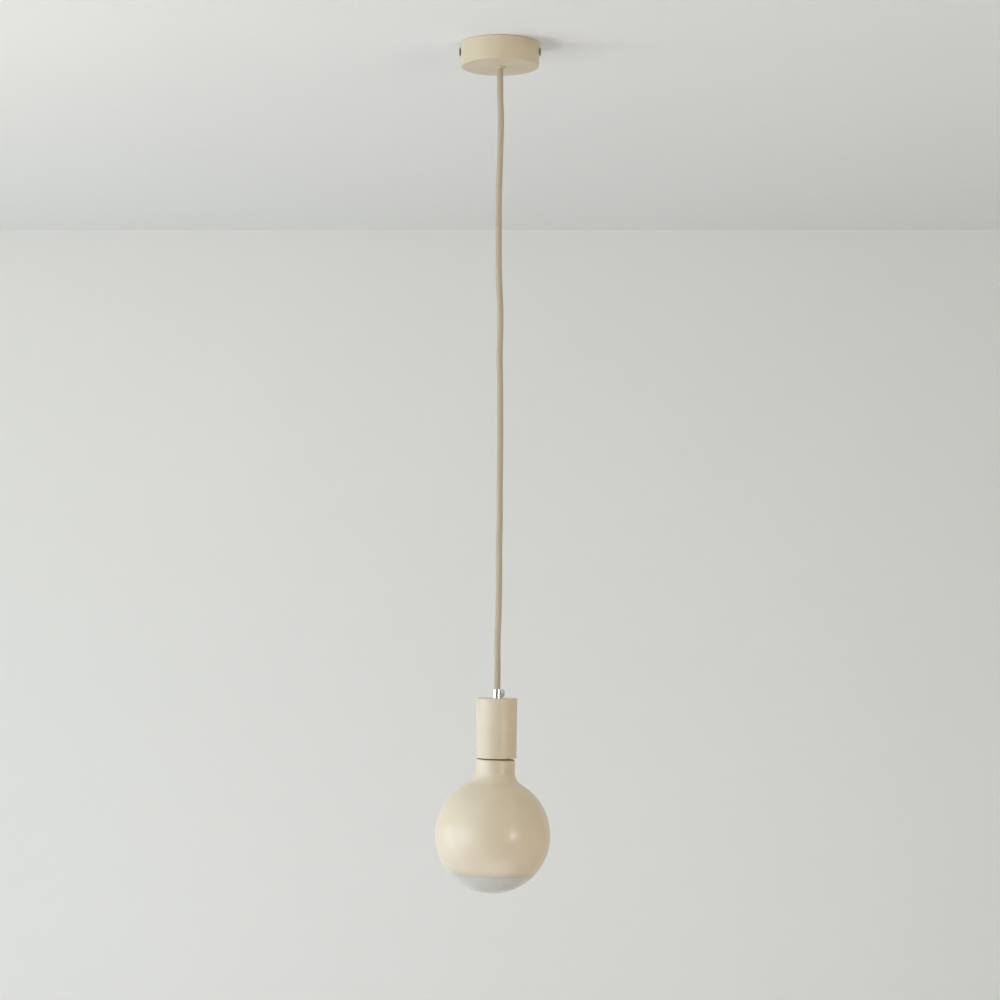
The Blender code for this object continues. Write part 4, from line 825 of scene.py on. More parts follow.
def lower_route(pole):
    """Out of the cord's lower end to a side terminal, or up under the nut for the earth."""
    x0, y0 = core_place(pole)
    start, room = -0.0113, 0.00955
    if pole == "earth":
        reach, tail = 0.01105, -0.0049
        route = [(0, y0, start), (0, 0.00227, start - 0.21 * room)]
        route += [(0, y * reach, start - down * room) for y, down in ((0.5, 0.41), (0.84, 0.21))]
        return route + [(0, reach, (2 * start + tail) / 3), (0, reach, tail)]
    side = math.copysign(1, x0)
    route = [(x0, y0, start), (side * CORE_RING, y0, start - 0.21 * room)]
    route += [(side * TERMINAL_X * across, y0 * (1 - across), start - down * room)
              for across, down in ((0.47, 0.5), (0.84, 0.68), (1, 0.93))]
    return route + [(side * TERMINAL_X, 0, -0.02555)]


print("steps of a route:", len(upper_route("live")), "above,", len(lower_route("live")), "below")

# %% Leads in their places
def add_lead(node, pole, route, place=Matrix.Identity(4), across=(1.0, 0.13, 0.21)):
    """A tube of one core's thickness along a route."""
    mesh = tube_mesh(node.replace("lead", "core"), smooth_line(route, 0.0004), CORE_RADIUS, 20,
                     across=across)
    mesh.transform(place)
    add_piece(node.replace("lead", "core"), smooth(mesh), core_slots[pole], node)


for pole in POLES:
    add_lead(f"lead_{pole}_top", pole, upper_route(pole))
    add_lead(f"lead_{pole}_bottom", pole, lower_route(pole), holder_place)
add_lead("earth_bond_lead", "earth", bond_route(), across=(0.31, -0.22, 0.92))
print("leads:", 2 * len(POLES) + 1)

# %% [markdown]
# ## The cord grip
#
# A turned steel tube stands on the holder cup, with a flange under it and a threaded shank
# through the cup's top. The cord runs through its bore and a side screw with a thick domed
# head clamps it. It is polished, so it mirrors the room: bright where the pale walls are, and
# dark where the room behind the camera is dark.

# %% Cord grip
GRIP_RADIUS = 0.00455
GRIP_SCREW_Z = 0.0055
SHANK_RADIUS, SHANK_END = 0.0049, -0.0090
grip_profile = rounded([
    (CORD_BORE, GRIP_LENGTH, 0.0002), (GRIP_RADIUS, GRIP_LENGTH, 0.00035),
    (GRIP_RADIUS, 0.0011, 0.0002), (0.0060, 0.0011, 0.0002), (0.0060, 0.0003, 0.0001),
    (SHANK_RADIUS, 0.0003), (SHANK_RADIUS, SHANK_END, 0.0003), (CORD_BORE, SHANK_END, 0.0001),
])
grip_drill = peg(0.0013, 0.0018, 0.0060)
grip_drill.transform(facing("x", (0, 0, GRIP_SCREW_Z)))
grip_mesh = pierce(turned("grip_barrel", grip_profile, 96), [grip_drill])
grip_mesh.transform(holder_place)
add_piece("grip_barrel", grip_mesh, "polished_steel", "cord_grip")
add_screw("grip_clamp_screw", "x", (GRIP_RADIUS + 0.0003, 0, GRIP_SCREW_Z), "polished_steel",
          "grip_screw", 0.0044, 0.0037, 0.001, 0.00075, 0.0009, 0.0009, spin=math.radians(35),
          within=holder_place)
print("grip:", len(grip_mesh.polygons), "faces")

# %% [markdown]
# ## The holder cup and its sleeve
#
# A second, deeper cup covers the lamp holder. It hangs from the grip's flange, and its open
# rim shows a thin dark line above the bulb: there the black sleeve of the holder, a little
# narrower than the cup, can be seen in the gap.

# %% Holder cup
SHELL_RADIUS = 0.0222
SHELL_HEIGHT = 0.0648
SHANK_HOLE = 0.0052
shell_profile = rounded([
    (SHANK_HOLE, 0.0, 0.0001), (SHELL_RADIUS, 0.0, 0.0013), (SHELL_RADIUS, -SHELL_HEIGHT, 0.00035),
    (SHELL_RADIUS - SHEET, -SHELL_HEIGHT, 0.00035), (SHELL_RADIUS - SHEET, -SHEET, 0.0003),
    (SHANK_HOLE, -SHEET, 0.0001),
], steps=8)
shell_mesh = turned("holder_cup", shell_profile, 128, holder_place)
add_piece("holder_cup", shell_mesh, "beige_paint", "holder_shell", holder_paint)
sleeve_profile = rounded([
    (0.0163, -0.01245, 0.0002), (0.0173, -0.01245, 0.0003), (0.0173, -0.01875),
    (0.0185, -0.01875, 0.0002), (0.0185, -0.0652, 0.0003), (0.0148, -0.0652, 0.0006),
    (0.0143, -0.0644, 0.0002), (0.0143, -0.04315), (0.0163, -0.04315),
])
add_piece("holder_sleeve", turned("holder_sleeve", sleeve_profile, 96, holder_place),
          "black_moulding", "holder_skirt")
print("holder cup:", 1000 * SHELL_HEIGHT, "mm deep")

# %% [markdown]
# ## Rolled lamp thread
#
# The thread of a bulb is not cut but rolled into thin sheet, so its section is a soft wave.
# In numbers: the radius is the mean radius plus the amplitude times the cosine of (height
# over pitch, less angle), both counted in turns. That makes a right-handed helix. Near each
# end the wave fades out, at the tip into its root and at the rim into its crest, so the thread
# has a start. The bulb's cap and the screw shell share the formula half a millimetre apart,
# which is why one turns freely in the other.

# %% Rolled thread
PITCH = 0.00363
MEAN_RADIUS = 0.01248
AMPLITUDE = 0.00052
RUN_OUT = 0.0018


def thread_radius(mean, heights, angles, top, bottom):
    """mean + amplitude * (share * cos(2 pi z / pitch - angle) + (1 - share) * end).

    share rises from 0 to 1 over the run-out, and end is -1 near the top, +1 near the bottom.
    """
    z, a = np.meshgrid(heights, angles, indexing="ij")
    wave = np.cos(math.tau * z / PITCH - a)
    share = np.clip(np.minimum(top - z, z - bottom) / RUN_OUT, 0, 1)
    share = share * share * (3 - 2 * share)
    end = np.where(top - z < z - bottom, -1.0, 1.0)
    return mean + AMPLITUDE * (share * wave + (1 - share) * end)


def threaded(name, above, mean, top, bottom, below, columns=72, rows=150, inner=None):
    """A turned surface whose stretch from top to bottom is the rolled thread.

    above and below are plain profile points before and after it. With inner given, a second
    thread of that mean radius runs back up inside, which makes a thin sleeve.
    """
    angles = np.linspace(0, math.tau, columns, endpoint=False)
    heights = np.linspace(top, bottom, rows)

    def plain(profile):
        """Rings of a plain profile."""
        radius, height = np.array(profile).T[:, :, None]
        return turn_points(radius, height, angles)

    def thread(mean_radius, levels):
        """Rings of the rolled wave at these levels."""
        radius = thread_radius(mean_radius, levels, angles, top, bottom)
        return turn_points(radius, levels[:, None], angles)

    parts = [plain(above), thread(mean, heights)]
    if inner is not None:
        parts.append(thread(inner, heights[::-1]))
    points = np.vstack(parts + [plain(below)])
    mesh = weld(grid_mesh(name, points, closed_rows=inner is not None))
    mesh.transform(holder_place)
    return smooth(mesh, 50)


print("crest of the bulb's thread:", round(MEAN_RADIUS + AMPLITUDE, 5))

# %% The two threads
THREAD_TOP, THREAD_BOTTOM = -0.04535, -0.06375
CAP_RIM = THREAD_BOTTOM - 0.0016
cap_mesh = threaded(
    "cap_thread",
    [(0, THREAD_TOP + 0.0021), (0.0088, THREAD_TOP + 0.0021), (0.0094, THREAD_TOP + 0.0020),
     (0.0100, THREAD_TOP + 0.00185), (0.0112, THREAD_TOP + 0.00115), (0.0117, THREAD_TOP + 0.0005)],
    MEAN_RADIUS, THREAD_TOP, THREAD_BOTTOM,
    [(0.0132, THREAD_BOTTOM - 0.0003), (0.0132, CAP_RIM), (0.0109, CAP_RIM),
     (0.0109, CAP_RIM + 0.0097), (0, CAP_RIM + 0.0097)])
add_piece("cap_thread", cap_mesh, "cap_metal", "bulb_cap")
FLANGE_TOP = THREAD_TOP + 0.003
shell_thread = threaded(
    "shell_thread", [(0.0159, FLANGE_TOP), (0.0159, FLANGE_TOP - 0.0005)],
    MEAN_RADIUS + 0.001, FLANGE_TOP - 0.0005, -0.0634, [(0.01246, FLANGE_TOP)],
    rows=160, inner=MEAN_RADIUS + 0.0005)
add_piece("shell_thread", shell_thread, "brass", "screw_shell")
print("thread:", round((THREAD_TOP - THREAD_BOTTOM) / PITCH, 2), "turns")

# %% [markdown]
# ## The bulb
#
# The globe is blown glass: a sphere, a wide straight neck, and a soft fillet between them that
# touches both. The fillet's centre stands one fillet radius outside the neck, and as far from
# the globe's centre as both radii together, which fixes how far down the globe sits. The bulb
# was cemented into its cap a little askew, so the glass leans more than the holder.
#
# The upper part is painted, and the paint has a thickness: at its lower edge the radius steps in by
# a tenth of a millimetre to bare frosted glass. The coat's colour darkens over its last centimetre
# towards that edge, and along the step runs a fine dark line of painted shade.

# %% Measures of the bulb
GLOBE_RADIUS = 0.0625
NECK_RADIUS = 0.021
NECK_TOP = -0.0660
NECK_STRAIGHT = 0.013
FILLET = 0.0157
FROST_DROP = 0.0407
GLASS_LEAN = math.radians(1.5)
PAINT_FILM = 0.00012
glass_place = (holder_place @ Matrix.Translation((0, 0, NECK_TOP))
               @ Matrix.Rotation(GLASS_LEAN, 4, "Y"))
globe_drop = NECK_STRAIGHT + math.sqrt((GLOBE_RADIUS + FILLET) ** 2 - (NECK_RADIUS + FILLET) ** 2)


def swing(centre, radius, first, last, steps):
    """Points on an arc: centre plus radius times (cos, sin) of evenly spaced angles."""
    angle = np.linspace(first, last, steps)
    return np.column_stack([centre[0] + radius * np.cos(angle), centre[1] + radius * np.sin(angle)])


print("the globe's centre is", round(globe_drop, 4), "below the neck's top")

# %% Globe bulb
meet = math.atan2(globe_drop - NECK_STRAIGHT, NECK_RADIUS + FILLET)
edge = -math.asin(FROST_DROP / GLOBE_RADIUS)
bare = GLOBE_RADIUS - PAINT_FILM
bare_edge = -math.asin((FROST_DROP + 0.00004) / bare)
painted = np.vstack([
    [(0.0, 0.009), (0.0090, 0.009)], swing((0.0092, 0.0080), 0.001, math.pi / 2, 0, 5),
    [(0.0102, 0.0007)], swing((0.0194, -0.0016), 0.0016, math.pi / 2, 0, 10),
    np.column_stack([np.full(8, NECK_RADIUS), np.linspace(-0.0023, -0.0125, 8)]),
    swing((NECK_RADIUS + FILLET, -NECK_STRAIGHT), FILLET, math.pi, math.pi + meet, 18),
    swing((0.0, -globe_drop), GLOBE_RADIUS, meet, edge, 96)[1:],
])
darken_to_edge(bulb_coat, float(np.linalg.norm(np.diff(painted, axis=0), axis=1).sum()))
frost = swing((0.0, -globe_drop), bare, bare_edge, -math.pi / 2, 34)
frost[-1, 0] = 0.0
globe_mesh = turned("bulb_glass", np.vstack([painted, frost]), 160, closed=False)
frost_line = -globe_drop - FROST_DROP - 0.00002
middles = np.empty(3 * len(globe_mesh.polygons))
globe_mesh.polygons.foreach_get("center", middles)
is_frost = (middles.reshape(-1, 3)[:, 2] < frost_line).astype(np.int32)
globe_mesh.transform(glass_place)
add_piece("bulb_glass", globe_mesh, "bulb_paint", "bulb_globe", bulb_coat.material,
          frosted_glass)
globe_mesh.polygons.foreach_set("material_index", is_frost)
print("bulb:", len(globe_mesh.polygons), "faces,", int(is_frost.sum()), "of them frosted")

# %% [markdown]
# ## Strips and blocks
#
# The inner pieces are of two more kinds. A strip is a narrow section carried along a bent path,
# like the cord but with a rectangle instead of a circle. A block is an outline drawn straight
# up, with its rims bevelled. Both are closed at their ends by one flat face.

# %% Strips and blocks
def strip(name, corners, width, thickness, edge=0.0001):
    """Carry a rounded rectangle along a path of corners (x, z, bend) in the x-z plane.

    Point (i, j) is path i + a_j * normal i + b_j * y, with (a, b) running round the section.
    """
    path = rounded(corners, closed=False)
    steps = np.diff(path, axis=0)
    steps /= np.linalg.norm(steps, axis=1)[:, None]
    tangent = np.vstack([steps[:1], steps[:-1] + steps[1:], steps[-1:]])
    tangent /= np.linalg.norm(tangent, axis=1)[:, None]
    normal = np.column_stack([-tangent[:, 1], tangent[:, 0]])
    a, b = thickness / 2, width / 2
    section = rounded([(-a, -b, edge), (a, -b, edge), (a, b, edge), (-a, b, edge)], steps=3)
    across = path[:, None, :] + section[None, :, :1] * normal[:, None, :]
    sideways = np.repeat(section[None, :, 1], len(path), 0)
    points = np.stack([across[..., 0], sideways, across[..., 1]], 2)
    return weld(grid_mesh(name, points), fill=True)


def prism(name, outline, low, high, edge=0.0):
    """Draw an outline up from low to high, each rim pulled in by a bevel."""
    outline = np.asarray(outline, dtype=float)
    reach = np.linalg.norm(outline, axis=1)[:, None]
    pulled = outline * (1 - edge / reach)
    rings = [np.column_stack([ring, np.full(len(ring), level)]) for ring, level in (
        (pulled, low), (outline, low + edge), (outline, high - edge), (pulled, high))]
    return weld(grid_mesh(name, np.stack(rings)), fill=True)


def drill(radius, low, high, direction, point):
    """A cylinder laid in a direction through a point, to cut a hole with."""
    tool = peg(radius, low, high, 32)
    tool.transform(facing(direction, point))
    return tool


def box_outline(half_x, half_y, rounding):
    """A rectangle about the origin with rounded corners."""
    return rounded([(x, y, rounding) for x, y in (
        (-half_x, -half_y), (half_x, -half_y), (half_x, half_y), (-half_x, half_y))], steps=4)


print("strips and blocks ready")

# %% [markdown]
# ## The mounting strap
#
# A strap of plated steel is folded down at both ends. Two long slots take the ceiling screws,
# the ears take the cup's side screws, and a small hole takes the earth screw.

# %% Mounting strap
STRAP_REACH, STRAP_WIDTH, STRAP_SHEET = 0.0401125, 0.014, 0.0018
EAR_END, FOLD, SLOT_X = -0.015, 0.0017, 0.027
strap = strip("mounting_strap", [
    (-STRAP_REACH, EAR_END), (-STRAP_REACH, -STRAP_SHEET / 2, FOLD),
    (STRAP_REACH, -STRAP_SHEET / 2, FOLD), (STRAP_REACH, EAR_END)],
    STRAP_WIDTH, STRAP_SHEET, 0.00035)
slot_outline = box_outline(0.006, 0.0026, 0.00255)
strap_tools = [drill(0.0023, -0.003, 0.001, "z", (EARTH_SCREW_X, 0, 0)),
               drill(SIDE_SCREW_HOLE, -0.05, 0.05, "x", (0, 0, SIDE_SCREW_Z))]
for side in (-1, 1):
    slot_tool = prism("slot", slot_outline, -0.003, 0.001)
    slot_tool.transform(Matrix.Translation((side * SLOT_X, 0, 0)))
    strap_tools.append(slot_tool)
add_piece("mounting_strap", pierce(strap, strap_tools), "zinc_steel", "mounting_bracket")
print("strap:", 2000 * STRAP_REACH, "mm between its ears")

# %% [markdown]
# ## The terminal block
#
# Three poles stand side by side in one nylon moulding, with a groove between each two. Each
# pole is a brass tube with two headless clamping screws above it, whose slots point every way,
# as they were left.

# %% Terminal block
BLOCK_TOP, BLOCK_BOTTOM, BLOCK_HALF = -0.0119, -0.0244, 0.0121
block_middle = (BLOCK_TOP + BLOCK_BOTTOM) / 2
half_height = (BLOCK_TOP - BLOCK_BOTTOM) / 2
grooved = [(-BLOCK_HALF, 0, 0.0009)] + [
    (side * 0.00425 + x, depth, 0.0003)
    for side in (-1, 1) for x, depth in ((-0.0008, 0), (0, 0.0013), (0.0008, 0))
] + [(BLOCK_HALF, 0, 0.0009)]
block_outline = rounded([(x, half_height - depth, r) for x, depth, r in grooved]
                        + [(-x, depth - half_height, r) for x, depth, r in grooved], steps=3)
block = prism("terminal_strip", block_outline, -BLOCK_BACK, -BLOCK_FRONT, 0.0004)
block.transform(Matrix.Translation((0, 0, block_middle)) @ Matrix.Rotation(math.pi / 2, 4, "X"))
print("block:", 2000 * BLOCK_HALF, "mm wide,", round(2000 * half_height, 2), "mm high")

# %% Poles and their screws
block_tools = []
INSERT_LENGTH, INSERT_WALL = 0.013, 0.0023
SET_SCREW, SET_TOP, SET_TIP = 0.0014, -0.0129, -0.01795
SET_ROWS, SET_HOLE = (0.0229, 0.0291), 0.0017
for number, (x, _) in enumerate(POLES.values()):
    block_tools.append(drill(0.0026, 0.017, 0.035, "y", (x, 0, POLE_Z)))
    tube = turned("tube", rounded([
        (0.0015, 0, 0.0002), (INSERT_WALL, 0, 0.0002), (INSERT_WALL, INSERT_LENGTH, 0.0002),
        (0.0015, INSERT_LENGTH, 0.0002)], steps=3), 40)
    tube.transform(facing("y", (x, BLOCK_FRONT + 0.0015, POLE_Z)))
    tube_tools = []
    for row, y in enumerate(SET_ROWS):
        block_tools.append(drill(SET_HOLE, POLE_Z, BLOCK_TOP + 0.001, "z", (x, y, 0)))
        tube_tools.append(drill(SET_HOLE, POLE_Z, POLE_Z + 0.004, "z", (x, y, 0)))
        set_screw = turned("set_screw", rounded([
            (0, SET_TOP), (SET_SCREW, SET_TOP, 0.0002), (SET_SCREW, SET_TIP, 0.0003),
            (0, SET_TIP)], closed=False, steps=3), 40, closed=False)
        set_screw = pierce(set_screw, [slab((-0.002, -0.00025, SET_TOP - 0.0007),
                                            (0.002, 0.00025, SET_TOP + 0.001))])
        count = 2 * number + row + 1
        set_screw.transform(Matrix.Translation((x, y, 0)) @ Matrix.Rotation(0.9 * count, 4, "Z"))
        add_piece(f"set_screw_{count}", set_screw, "zinc_steel", f"block_screw_{count}")
    add_piece(f"pole_tube_{number + 1}", pierce(tube, tube_tools), "brass", f"insert_{number + 1}")
add_piece("terminal_strip", pierce(block, block_tools), "white_nylon", "terminal_block")
print("terminal block:", len(POLES), "poles")

# %% [markdown]
# ## Nut, tag and dome
#
# Under the holder cup's top a hexagon nut clamps everything on the grip's shank: first the
# cup, then the black dome, then the earth tag. A real nut is chamfered by a cone that just
# touches its flats. So at depth d below its face its radius is the smaller of the hexagon's,
# flats / cos(angle from the nearest flat), and the cone's, flats + d / tan 30 degrees.

# %% Nut
NUT_FLATS = 0.0070


def nut_mesh(name, low, high, columns=96):
    """Chamfered hexagon nut with a plain bore."""
    angles = np.linspace(0, math.tau, columns, endpoint=False)
    hexagon = NUT_FLATS / np.cos(angles % (math.pi / 3) - math.pi / 6)
    depths = np.array([0.0, 0.0002, 0.0004, 0.0007])
    sides = [(np.minimum(hexagon, NUT_FLATS + d / math.tan(math.pi / 6)), high - d) for d in depths]
    sides += [(radius, low + high - level) for radius, level in sides[::-1]]
    bore = [(np.full(columns, radius), level) for radius, level in (
        (SHANK_HOLE + 0.0003, low), (SHANK_HOLE, low + 0.0003), (SHANK_HOLE, high - 0.0003),
        (SHANK_HOLE + 0.0003, high))]
    radius, level = (np.array(part) for part in zip(*(sides + bore)))
    points = turn_points(radius, level[:, None], angles)
    return smooth(weld(grid_mesh(name, points, closed_rows=True)), 25)


def add_inner(name, mesh, slot, node, x=0.0):
    """Seat a piece in the holder, beside its axis by x, and add it."""
    mesh.transform(holder_place @ Matrix.Translation((x, 0, 0)))
    add_piece(name, smooth(mesh, 30), slot, node)


add_inner("shank_nut", nut_mesh("shank_nut", -0.0079, -0.0049), "zinc_steel", "clamp_nut")
print("nut:", 2000 * NUT_FLATS, "mm across its flats")

# %% Tag and dome
tag_angles = np.radians(np.linspace(105, 435, 56))
tag_outline = np.vstack([0.0078 * np.column_stack([np.cos(tag_angles), np.sin(tag_angles)]),
                         rounded([(0.002, 0.0075), (0.002, 0.012, 0.0008), (-0.002, 0.012, 0.0008),
                                  (-0.002, 0.0075)], closed=False, steps=4)])
tag = pierce(prism("earth_lug", tag_outline, -0.0046, -0.0041, 0.00008),
             [drill(SHANK_HOLE, -0.006, -0.003, "z", (0, 0, 0))])
add_inner("earth_lug", tag, "brass", "earth_tag")
dome = turned("moulded_dome", rounded([
    (SHANK_HOLE, -0.0013, 0.0003), (0.0195, -0.0013, 0.008), (0.0195, -0.01845, 0.0004),
    (0.0176, -0.01845, 0.0003), (0.0176, -0.0038, 0.0061), (SHANK_HOLE, -0.0038, 0.0003)],
    steps=10), 96)
add_inner("moulded_dome", dome, "black_moulding", "holder_dome")
print("tag:", len(tag.polygons), "faces, dome:", len(dome.polygons), "faces")

# %% [markdown]
# ## The contact carrier
#
# A glazed ceramic disc carries the contacts. Two notches in its rim hold the brass clamps for
# the leads, and a rivet joins each clamp through the disc to its spring contact: a long leaf
# that presses on the tip of the bulb's cap, and a short foot that reaches the screw shell.

# %% Carrier, clamps and rivets
CARRIER_TOP, CARRIER_FLOOR, NOTCH_FLOOR = -0.02055, -0.03255, -0.02855
CLAMP_TOP, CLAMP_BOTTOM, CLAMP_HALF = -0.02085, -0.02825, (0.0027, 0.0032)
CARRIER_RADIUS, CARRIER_END, SKIRT_BORE = 0.016, -0.04205, 0.0144
RIVET_HOLE = 0.0015
STRIP_Z = -0.0331
RIVET_SEAT = -0.03365
carrier = turned("ceramic_carrier", rounded([
    (0, CARRIER_TOP), (CARRIER_RADIUS, CARRIER_TOP, 0.0005),
    (CARRIER_RADIUS, CARRIER_END, 0.0003), (SKIRT_BORE, CARRIER_END, 0.0003),
    (SKIRT_BORE, CARRIER_FLOOR, 0.0005), (0, CARRIER_FLOOR)],
    closed=False), 96, closed=False)
carrier_tools = []
clamp_outline = box_outline(*CLAMP_HALF, 0.0005)
for pole, direction, side in (("live", "x", 1), ("neutral", "-x", -1)):
    x = side * TERMINAL_X
    inner, outer = sorted((side * 0.0072, side * 0.018))
    carrier_tools += [slab((inner, -0.0035, NOTCH_FLOOR), (outer, 0.0035, CARRIER_TOP + 0.001)),
                      drill(RIVET_HOLE, CARRIER_FLOOR - 0.001, NOTCH_FLOOR + 0.001, "z", (x, 0, 0))]
    screw_z = CLAMP_TOP - 0.0027
    clamp = pierce(prism("clamp", clamp_outline, CLAMP_BOTTOM, CLAMP_TOP, 0.0003), [
        drill(0.00125, CLAMP_TOP - 0.005, CLAMP_TOP + 0.001, "z", (0, 0, 0)),
        drill(0.00155, 0, 0.004, direction, (0, 0, screw_z))])
    add_inner(f"brass_clamp_{pole}", clamp, "brass", f"clamp_{pole}", x)
    add_screw(f"terminal_screw_{pole}", direction, (x + side * 0.003, 0, screw_z), "zinc_steel",
              f"clamp_screw_{pole}", 0.0022, 0.0014, 0.00125, 0.00175, 0.0005, 0.0007,
              domed=False, spin=0.8 * side, within=holder_place)
    rivet = turned("rivet", rounded([
        (0, NOTCH_FLOOR), (0.0012, NOTCH_FLOOR, 0.0002), (0.0012, RIVET_SEAT),
        (0.0022, RIVET_SEAT, 0.0001), (0.0020, RIVET_SEAT - 0.0005, 0.0003),
        (0.0011, RIVET_SEAT - 0.001, 0.0004), (0, RIVET_SEAT - 0.001)], closed=False, steps=4),
        40, closed=False)
    add_inner(f"rivet_{pole}", rivet, "brass", f"contact_rivet_{pole}", x)
add_inner("ceramic_carrier", pierce(carrier, carrier_tools), "ceramic", "contact_carrier")
print("carrier:", 2000 * CARRIER_RADIUS, "mm across")

# %% Spring contacts
leaf_z, foot_z, drop_x = -0.0383, -0.0418, 0.01295
for name, node, width, side, path in (
        ("spring_leaf", "centre_contact", 0.006, 1,
         [(0.0132, STRIP_Z), (0.0065, STRIP_Z, 0.0012), (0.0025, leaf_z, 0.0012),
          (-0.0025, leaf_z, 0.0012), (-0.0045, leaf_z + 0.0009)]),
        ("spring_foot", "side_contact", 0.004, -1,
         [(-0.0072, STRIP_Z), (-drop_x, STRIP_Z, 0.0004), (-drop_x, foot_z, 0.0004),
          (-0.01385, foot_z)])):
    spring = pierce(strip(name, path, width, 0.0005), [
        drill(RIVET_HOLE, STRIP_Z - 0.001, STRIP_Z + 0.001, "z", (side * TERMINAL_X, 0, 0))])
    add_inner(name, spring, "brass", node)
print("the leaf presses at", leaf_z, "and the foot stands at", foot_z)

# %% [markdown]
# ## The tip of the cap
#
# The cap ends in a cone of black glass that insulates the soldered button in its middle.

# %% Tip of the cap
CAP_TIP = CAP_RIM + 0.0265
glass_seat, glass_top, button_seat = THREAD_TOP + 0.0024, CAP_TIP - 0.00125, CAP_TIP - 0.00095
for name, node, slot, corners in (
        ("insulating_glass", "cap_insulator", "black_glass",
         [(0, glass_top), (0.006, glass_top, 0.0008), (0.0092, glass_seat + 0.0005, 0.0004),
          (0.0092, glass_seat, 0.0002), (0, glass_seat)]),
        ("tip_button", "cap_contact", "brass",
         [(0, CAP_TIP), (0.0043, CAP_TIP, 0.0007), (0.0048, CAP_TIP - 0.0005, 0.0004),
          (0.0048, button_seat, 0.0001), (0, button_seat)])):
    add_inner(name, turned(name, rounded(corners, closed=False, steps=4), 64, closed=False),
              slot, node)
print("cap tip at", round(CAP_TIP, 5), "along the holder's axis")

# %% [markdown]
# ## The room
#
# The lamp hangs from a pale ceiling in front of a pale wall, with a floor far below. The room is
# only a stage. Its sheets are seen from inside only: from behind they let the view through, so the
# lamp can be looked at from any side, even from above.

# %% Ceiling, wall and floor
def wall_paint(name, colour):
    """Matt emulsion with a faint cloudiness, clear from behind."""
    coat = Finish(name, colour, 0.9, Specular_IOR_Level=0.2)
    cloud = coat.span(coat.noise(1.6, 4.0, 0.6))
    coat.colour(coat.blend(cloud, colour, shaded(colour, 0.985)))
    behind = coat.node("ShaderNodeNewGeometry").outputs["Backfacing"]
    clear = coat.node("ShaderNodeBsdfTransparent")
    mixed = coat.node("ShaderNodeMixShader", {0: behind, 1: coat.shader.outputs["BSDF"],
                                              2: clear.outputs["BSDF"]})
    coat.feed(coat.tree.nodes["Material Output"].inputs["Surface"], mixed.outputs["Shader"])
    return coat.material


def sheet_of_room(name, corners, material):
    """One flat face of the room, seen from the side its corners run round."""
    mesh = bpy.data.meshes.new(name)
    mesh.from_pydata(corners, [], [(0, 1, 2, 3)])
    mesh.materials.append(material)
    sheet = bpy.data.objects.new(name, mesh)
    bpy.context.scene.collection.objects.link(sheet)
    return sheet


CEILING_Z, FLOOR_Z = 0.0003, -2.2
WALL_Y = 1.2537
SIDE = 4.0
plaster = wall_paint("wall_emulsion", (0.805, 0.81, 0.78))
ceiling_paint = wall_paint("ceiling_emulsion", (0.86, 0.875, 0.855))
floor_paint = wall_paint("floor_emulsion", (0.42, 0.40, 0.385))
sheet_of_room("ceiling_sheet", [(-SIDE, -SIDE, CEILING_Z), (-SIDE, WALL_Y, CEILING_Z),
                                (SIDE, WALL_Y, CEILING_Z), (SIDE, -SIDE, CEILING_Z)],
              ceiling_paint)
sheet_of_room("wall_sheet", [(-SIDE, WALL_Y, FLOOR_Z), (SIDE, WALL_Y, FLOOR_Z),
                             (SIDE, WALL_Y, CEILING_Z), (-SIDE, WALL_Y, CEILING_Z)], plaster)
sheet_of_room("floor_sheet", [(-SIDE, -SIDE, FLOOR_Z), (SIDE, -SIDE, FLOOR_Z),
                              (SIDE, WALL_Y, FLOOR_Z), (-SIDE, WALL_Y, FLOOR_Z)], floor_paint)
print("room: wall at", WALL_Y, "floor at", FLOOR_Z)

# %% [markdown]
# ## The light
#
# Most of the light is the sky at the open left side of the room: it is cool, dimmer below the
# horizon, and falls off to a weak warm light at the right. A window lamp adds to it. The floor
# returns some light from below, a lamp on the left washes the ceiling, and a low one draws the
# edge of the cup's shadow there. A small panel to the right of the camera gives the bulb its
# second highlight. Behind the camera the room is dark, which is the dark stripe in the middle
# of the polished grip. The camera itself looks past all this to a plain pale background, so
# the lamp can be viewed from behind as well.

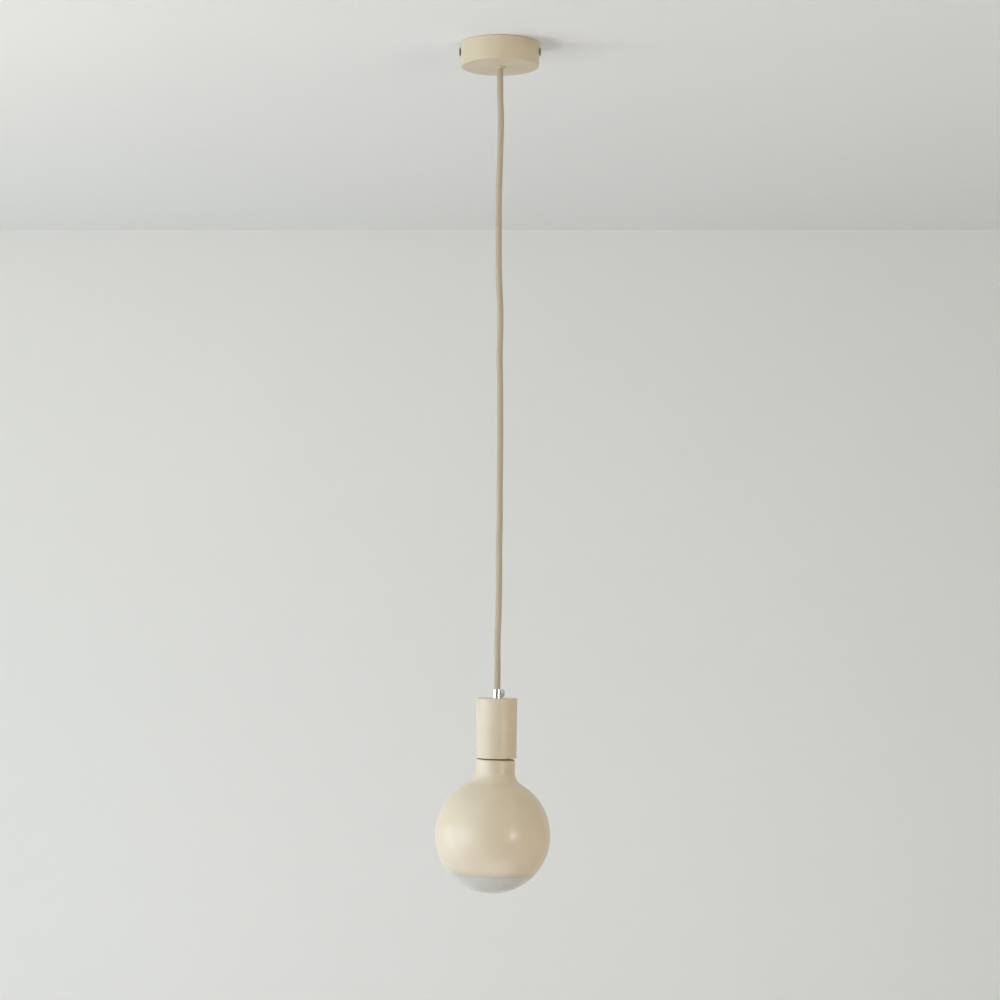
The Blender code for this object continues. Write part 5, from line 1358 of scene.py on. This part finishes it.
# %% Lamps
def soft_lamp(name, place, target, size, power, colour):
    """A rectangular lamp at a place, turned towards a target."""
    data = bpy.data.lights.new(name, "AREA")
    data.shape = "RECTANGLE"
    data.size, data.size_y = size
    data.energy = power
    data.color = colour
    lamp = bpy.data.objects.new(name, data)
    aim = np.array(target) - np.array(place)
    aim = aim / np.linalg.norm(aim)
    lamp.location = place
    lamp.rotation_euler = (math.acos(-aim[2]), 0.0, math.atan2(-aim[0], aim[1]))
    bpy.context.scene.collection.objects.link(lamp)
    return lamp


soft_lamp("window", (-2.25, -2.0, -0.38), (0, 0, -0.83), (2.0, 0.64), 10.1, (0.98, 1.0, 1.07))
soft_lamp("ceiling_wash", (-1.7, -0.9, -0.7), (-1.7, -0.9, 0), (1.0, 1.0), 12.5, (1.0, 0.86, 0.61))
soft_lamp("floor_glow", (0.2, -0.45, -2.1), (0.0, 0.0, -0.3), (1.2, 1.2), 6.5, (1.0, 0.93, 1.04))
soft_lamp("right_panel", (1.95, -2.26, -0.70), (0, 0, -2.4), (0.45, 0.45), 19.0, (1.0, 0.94, 0.86))
low_window = soft_lamp("low_window", (-1.5, -0.1, -1.55), (0, 0, 0), (0.35, 0.35), 6.6,
                       (1.0, 0.99, 0.98))
low_window.visible_glossy = False
print("lamps:", len(bpy.data.lights))

# %% Sky
world = bpy.data.worlds.new("room_light")
world.use_nodes = True
bpy.context.scene.world = world
sky = Network(world.node_tree)
towards = sky.node("ShaderNodeSeparateXYZ", {
    "Vector": sky.node("ShaderNodeTexCoord").outputs["Generated"]}).outputs
down = sky.span(towards["Z"], low_in=0.0, high_in=-0.3)
left = sky.span(towards["X"], low_in=0.0, high_in=-1.0)
behind_camera = sky.span(towards["Y"], low_in=-0.69, high_in=-0.81)
open_side = sky.blend(down, (3.5, 4.2, 5.2), (2.3, 2.8, 3.4))
daylight = sky.blend(left, (0.86, 0.74, 0.50), open_side)
room = sky.blend(behind_camera, daylight, (0.19, 0.18, 0.15))
seen_directly = sky.node("ShaderNodeLightPath").outputs["Is Camera Ray"]
background = sky.tree.nodes["Background"]
sky.feed(background.inputs["Color"], sky.blend(seen_directly, room, (0.82, 0.83, 0.79)))
sky.feed(background.inputs["Strength"], 0.8)
bpy.context.scene.view_settings.view_transform = "Standard"
print("strength of the sky:", background.inputs["Strength"].default_value)
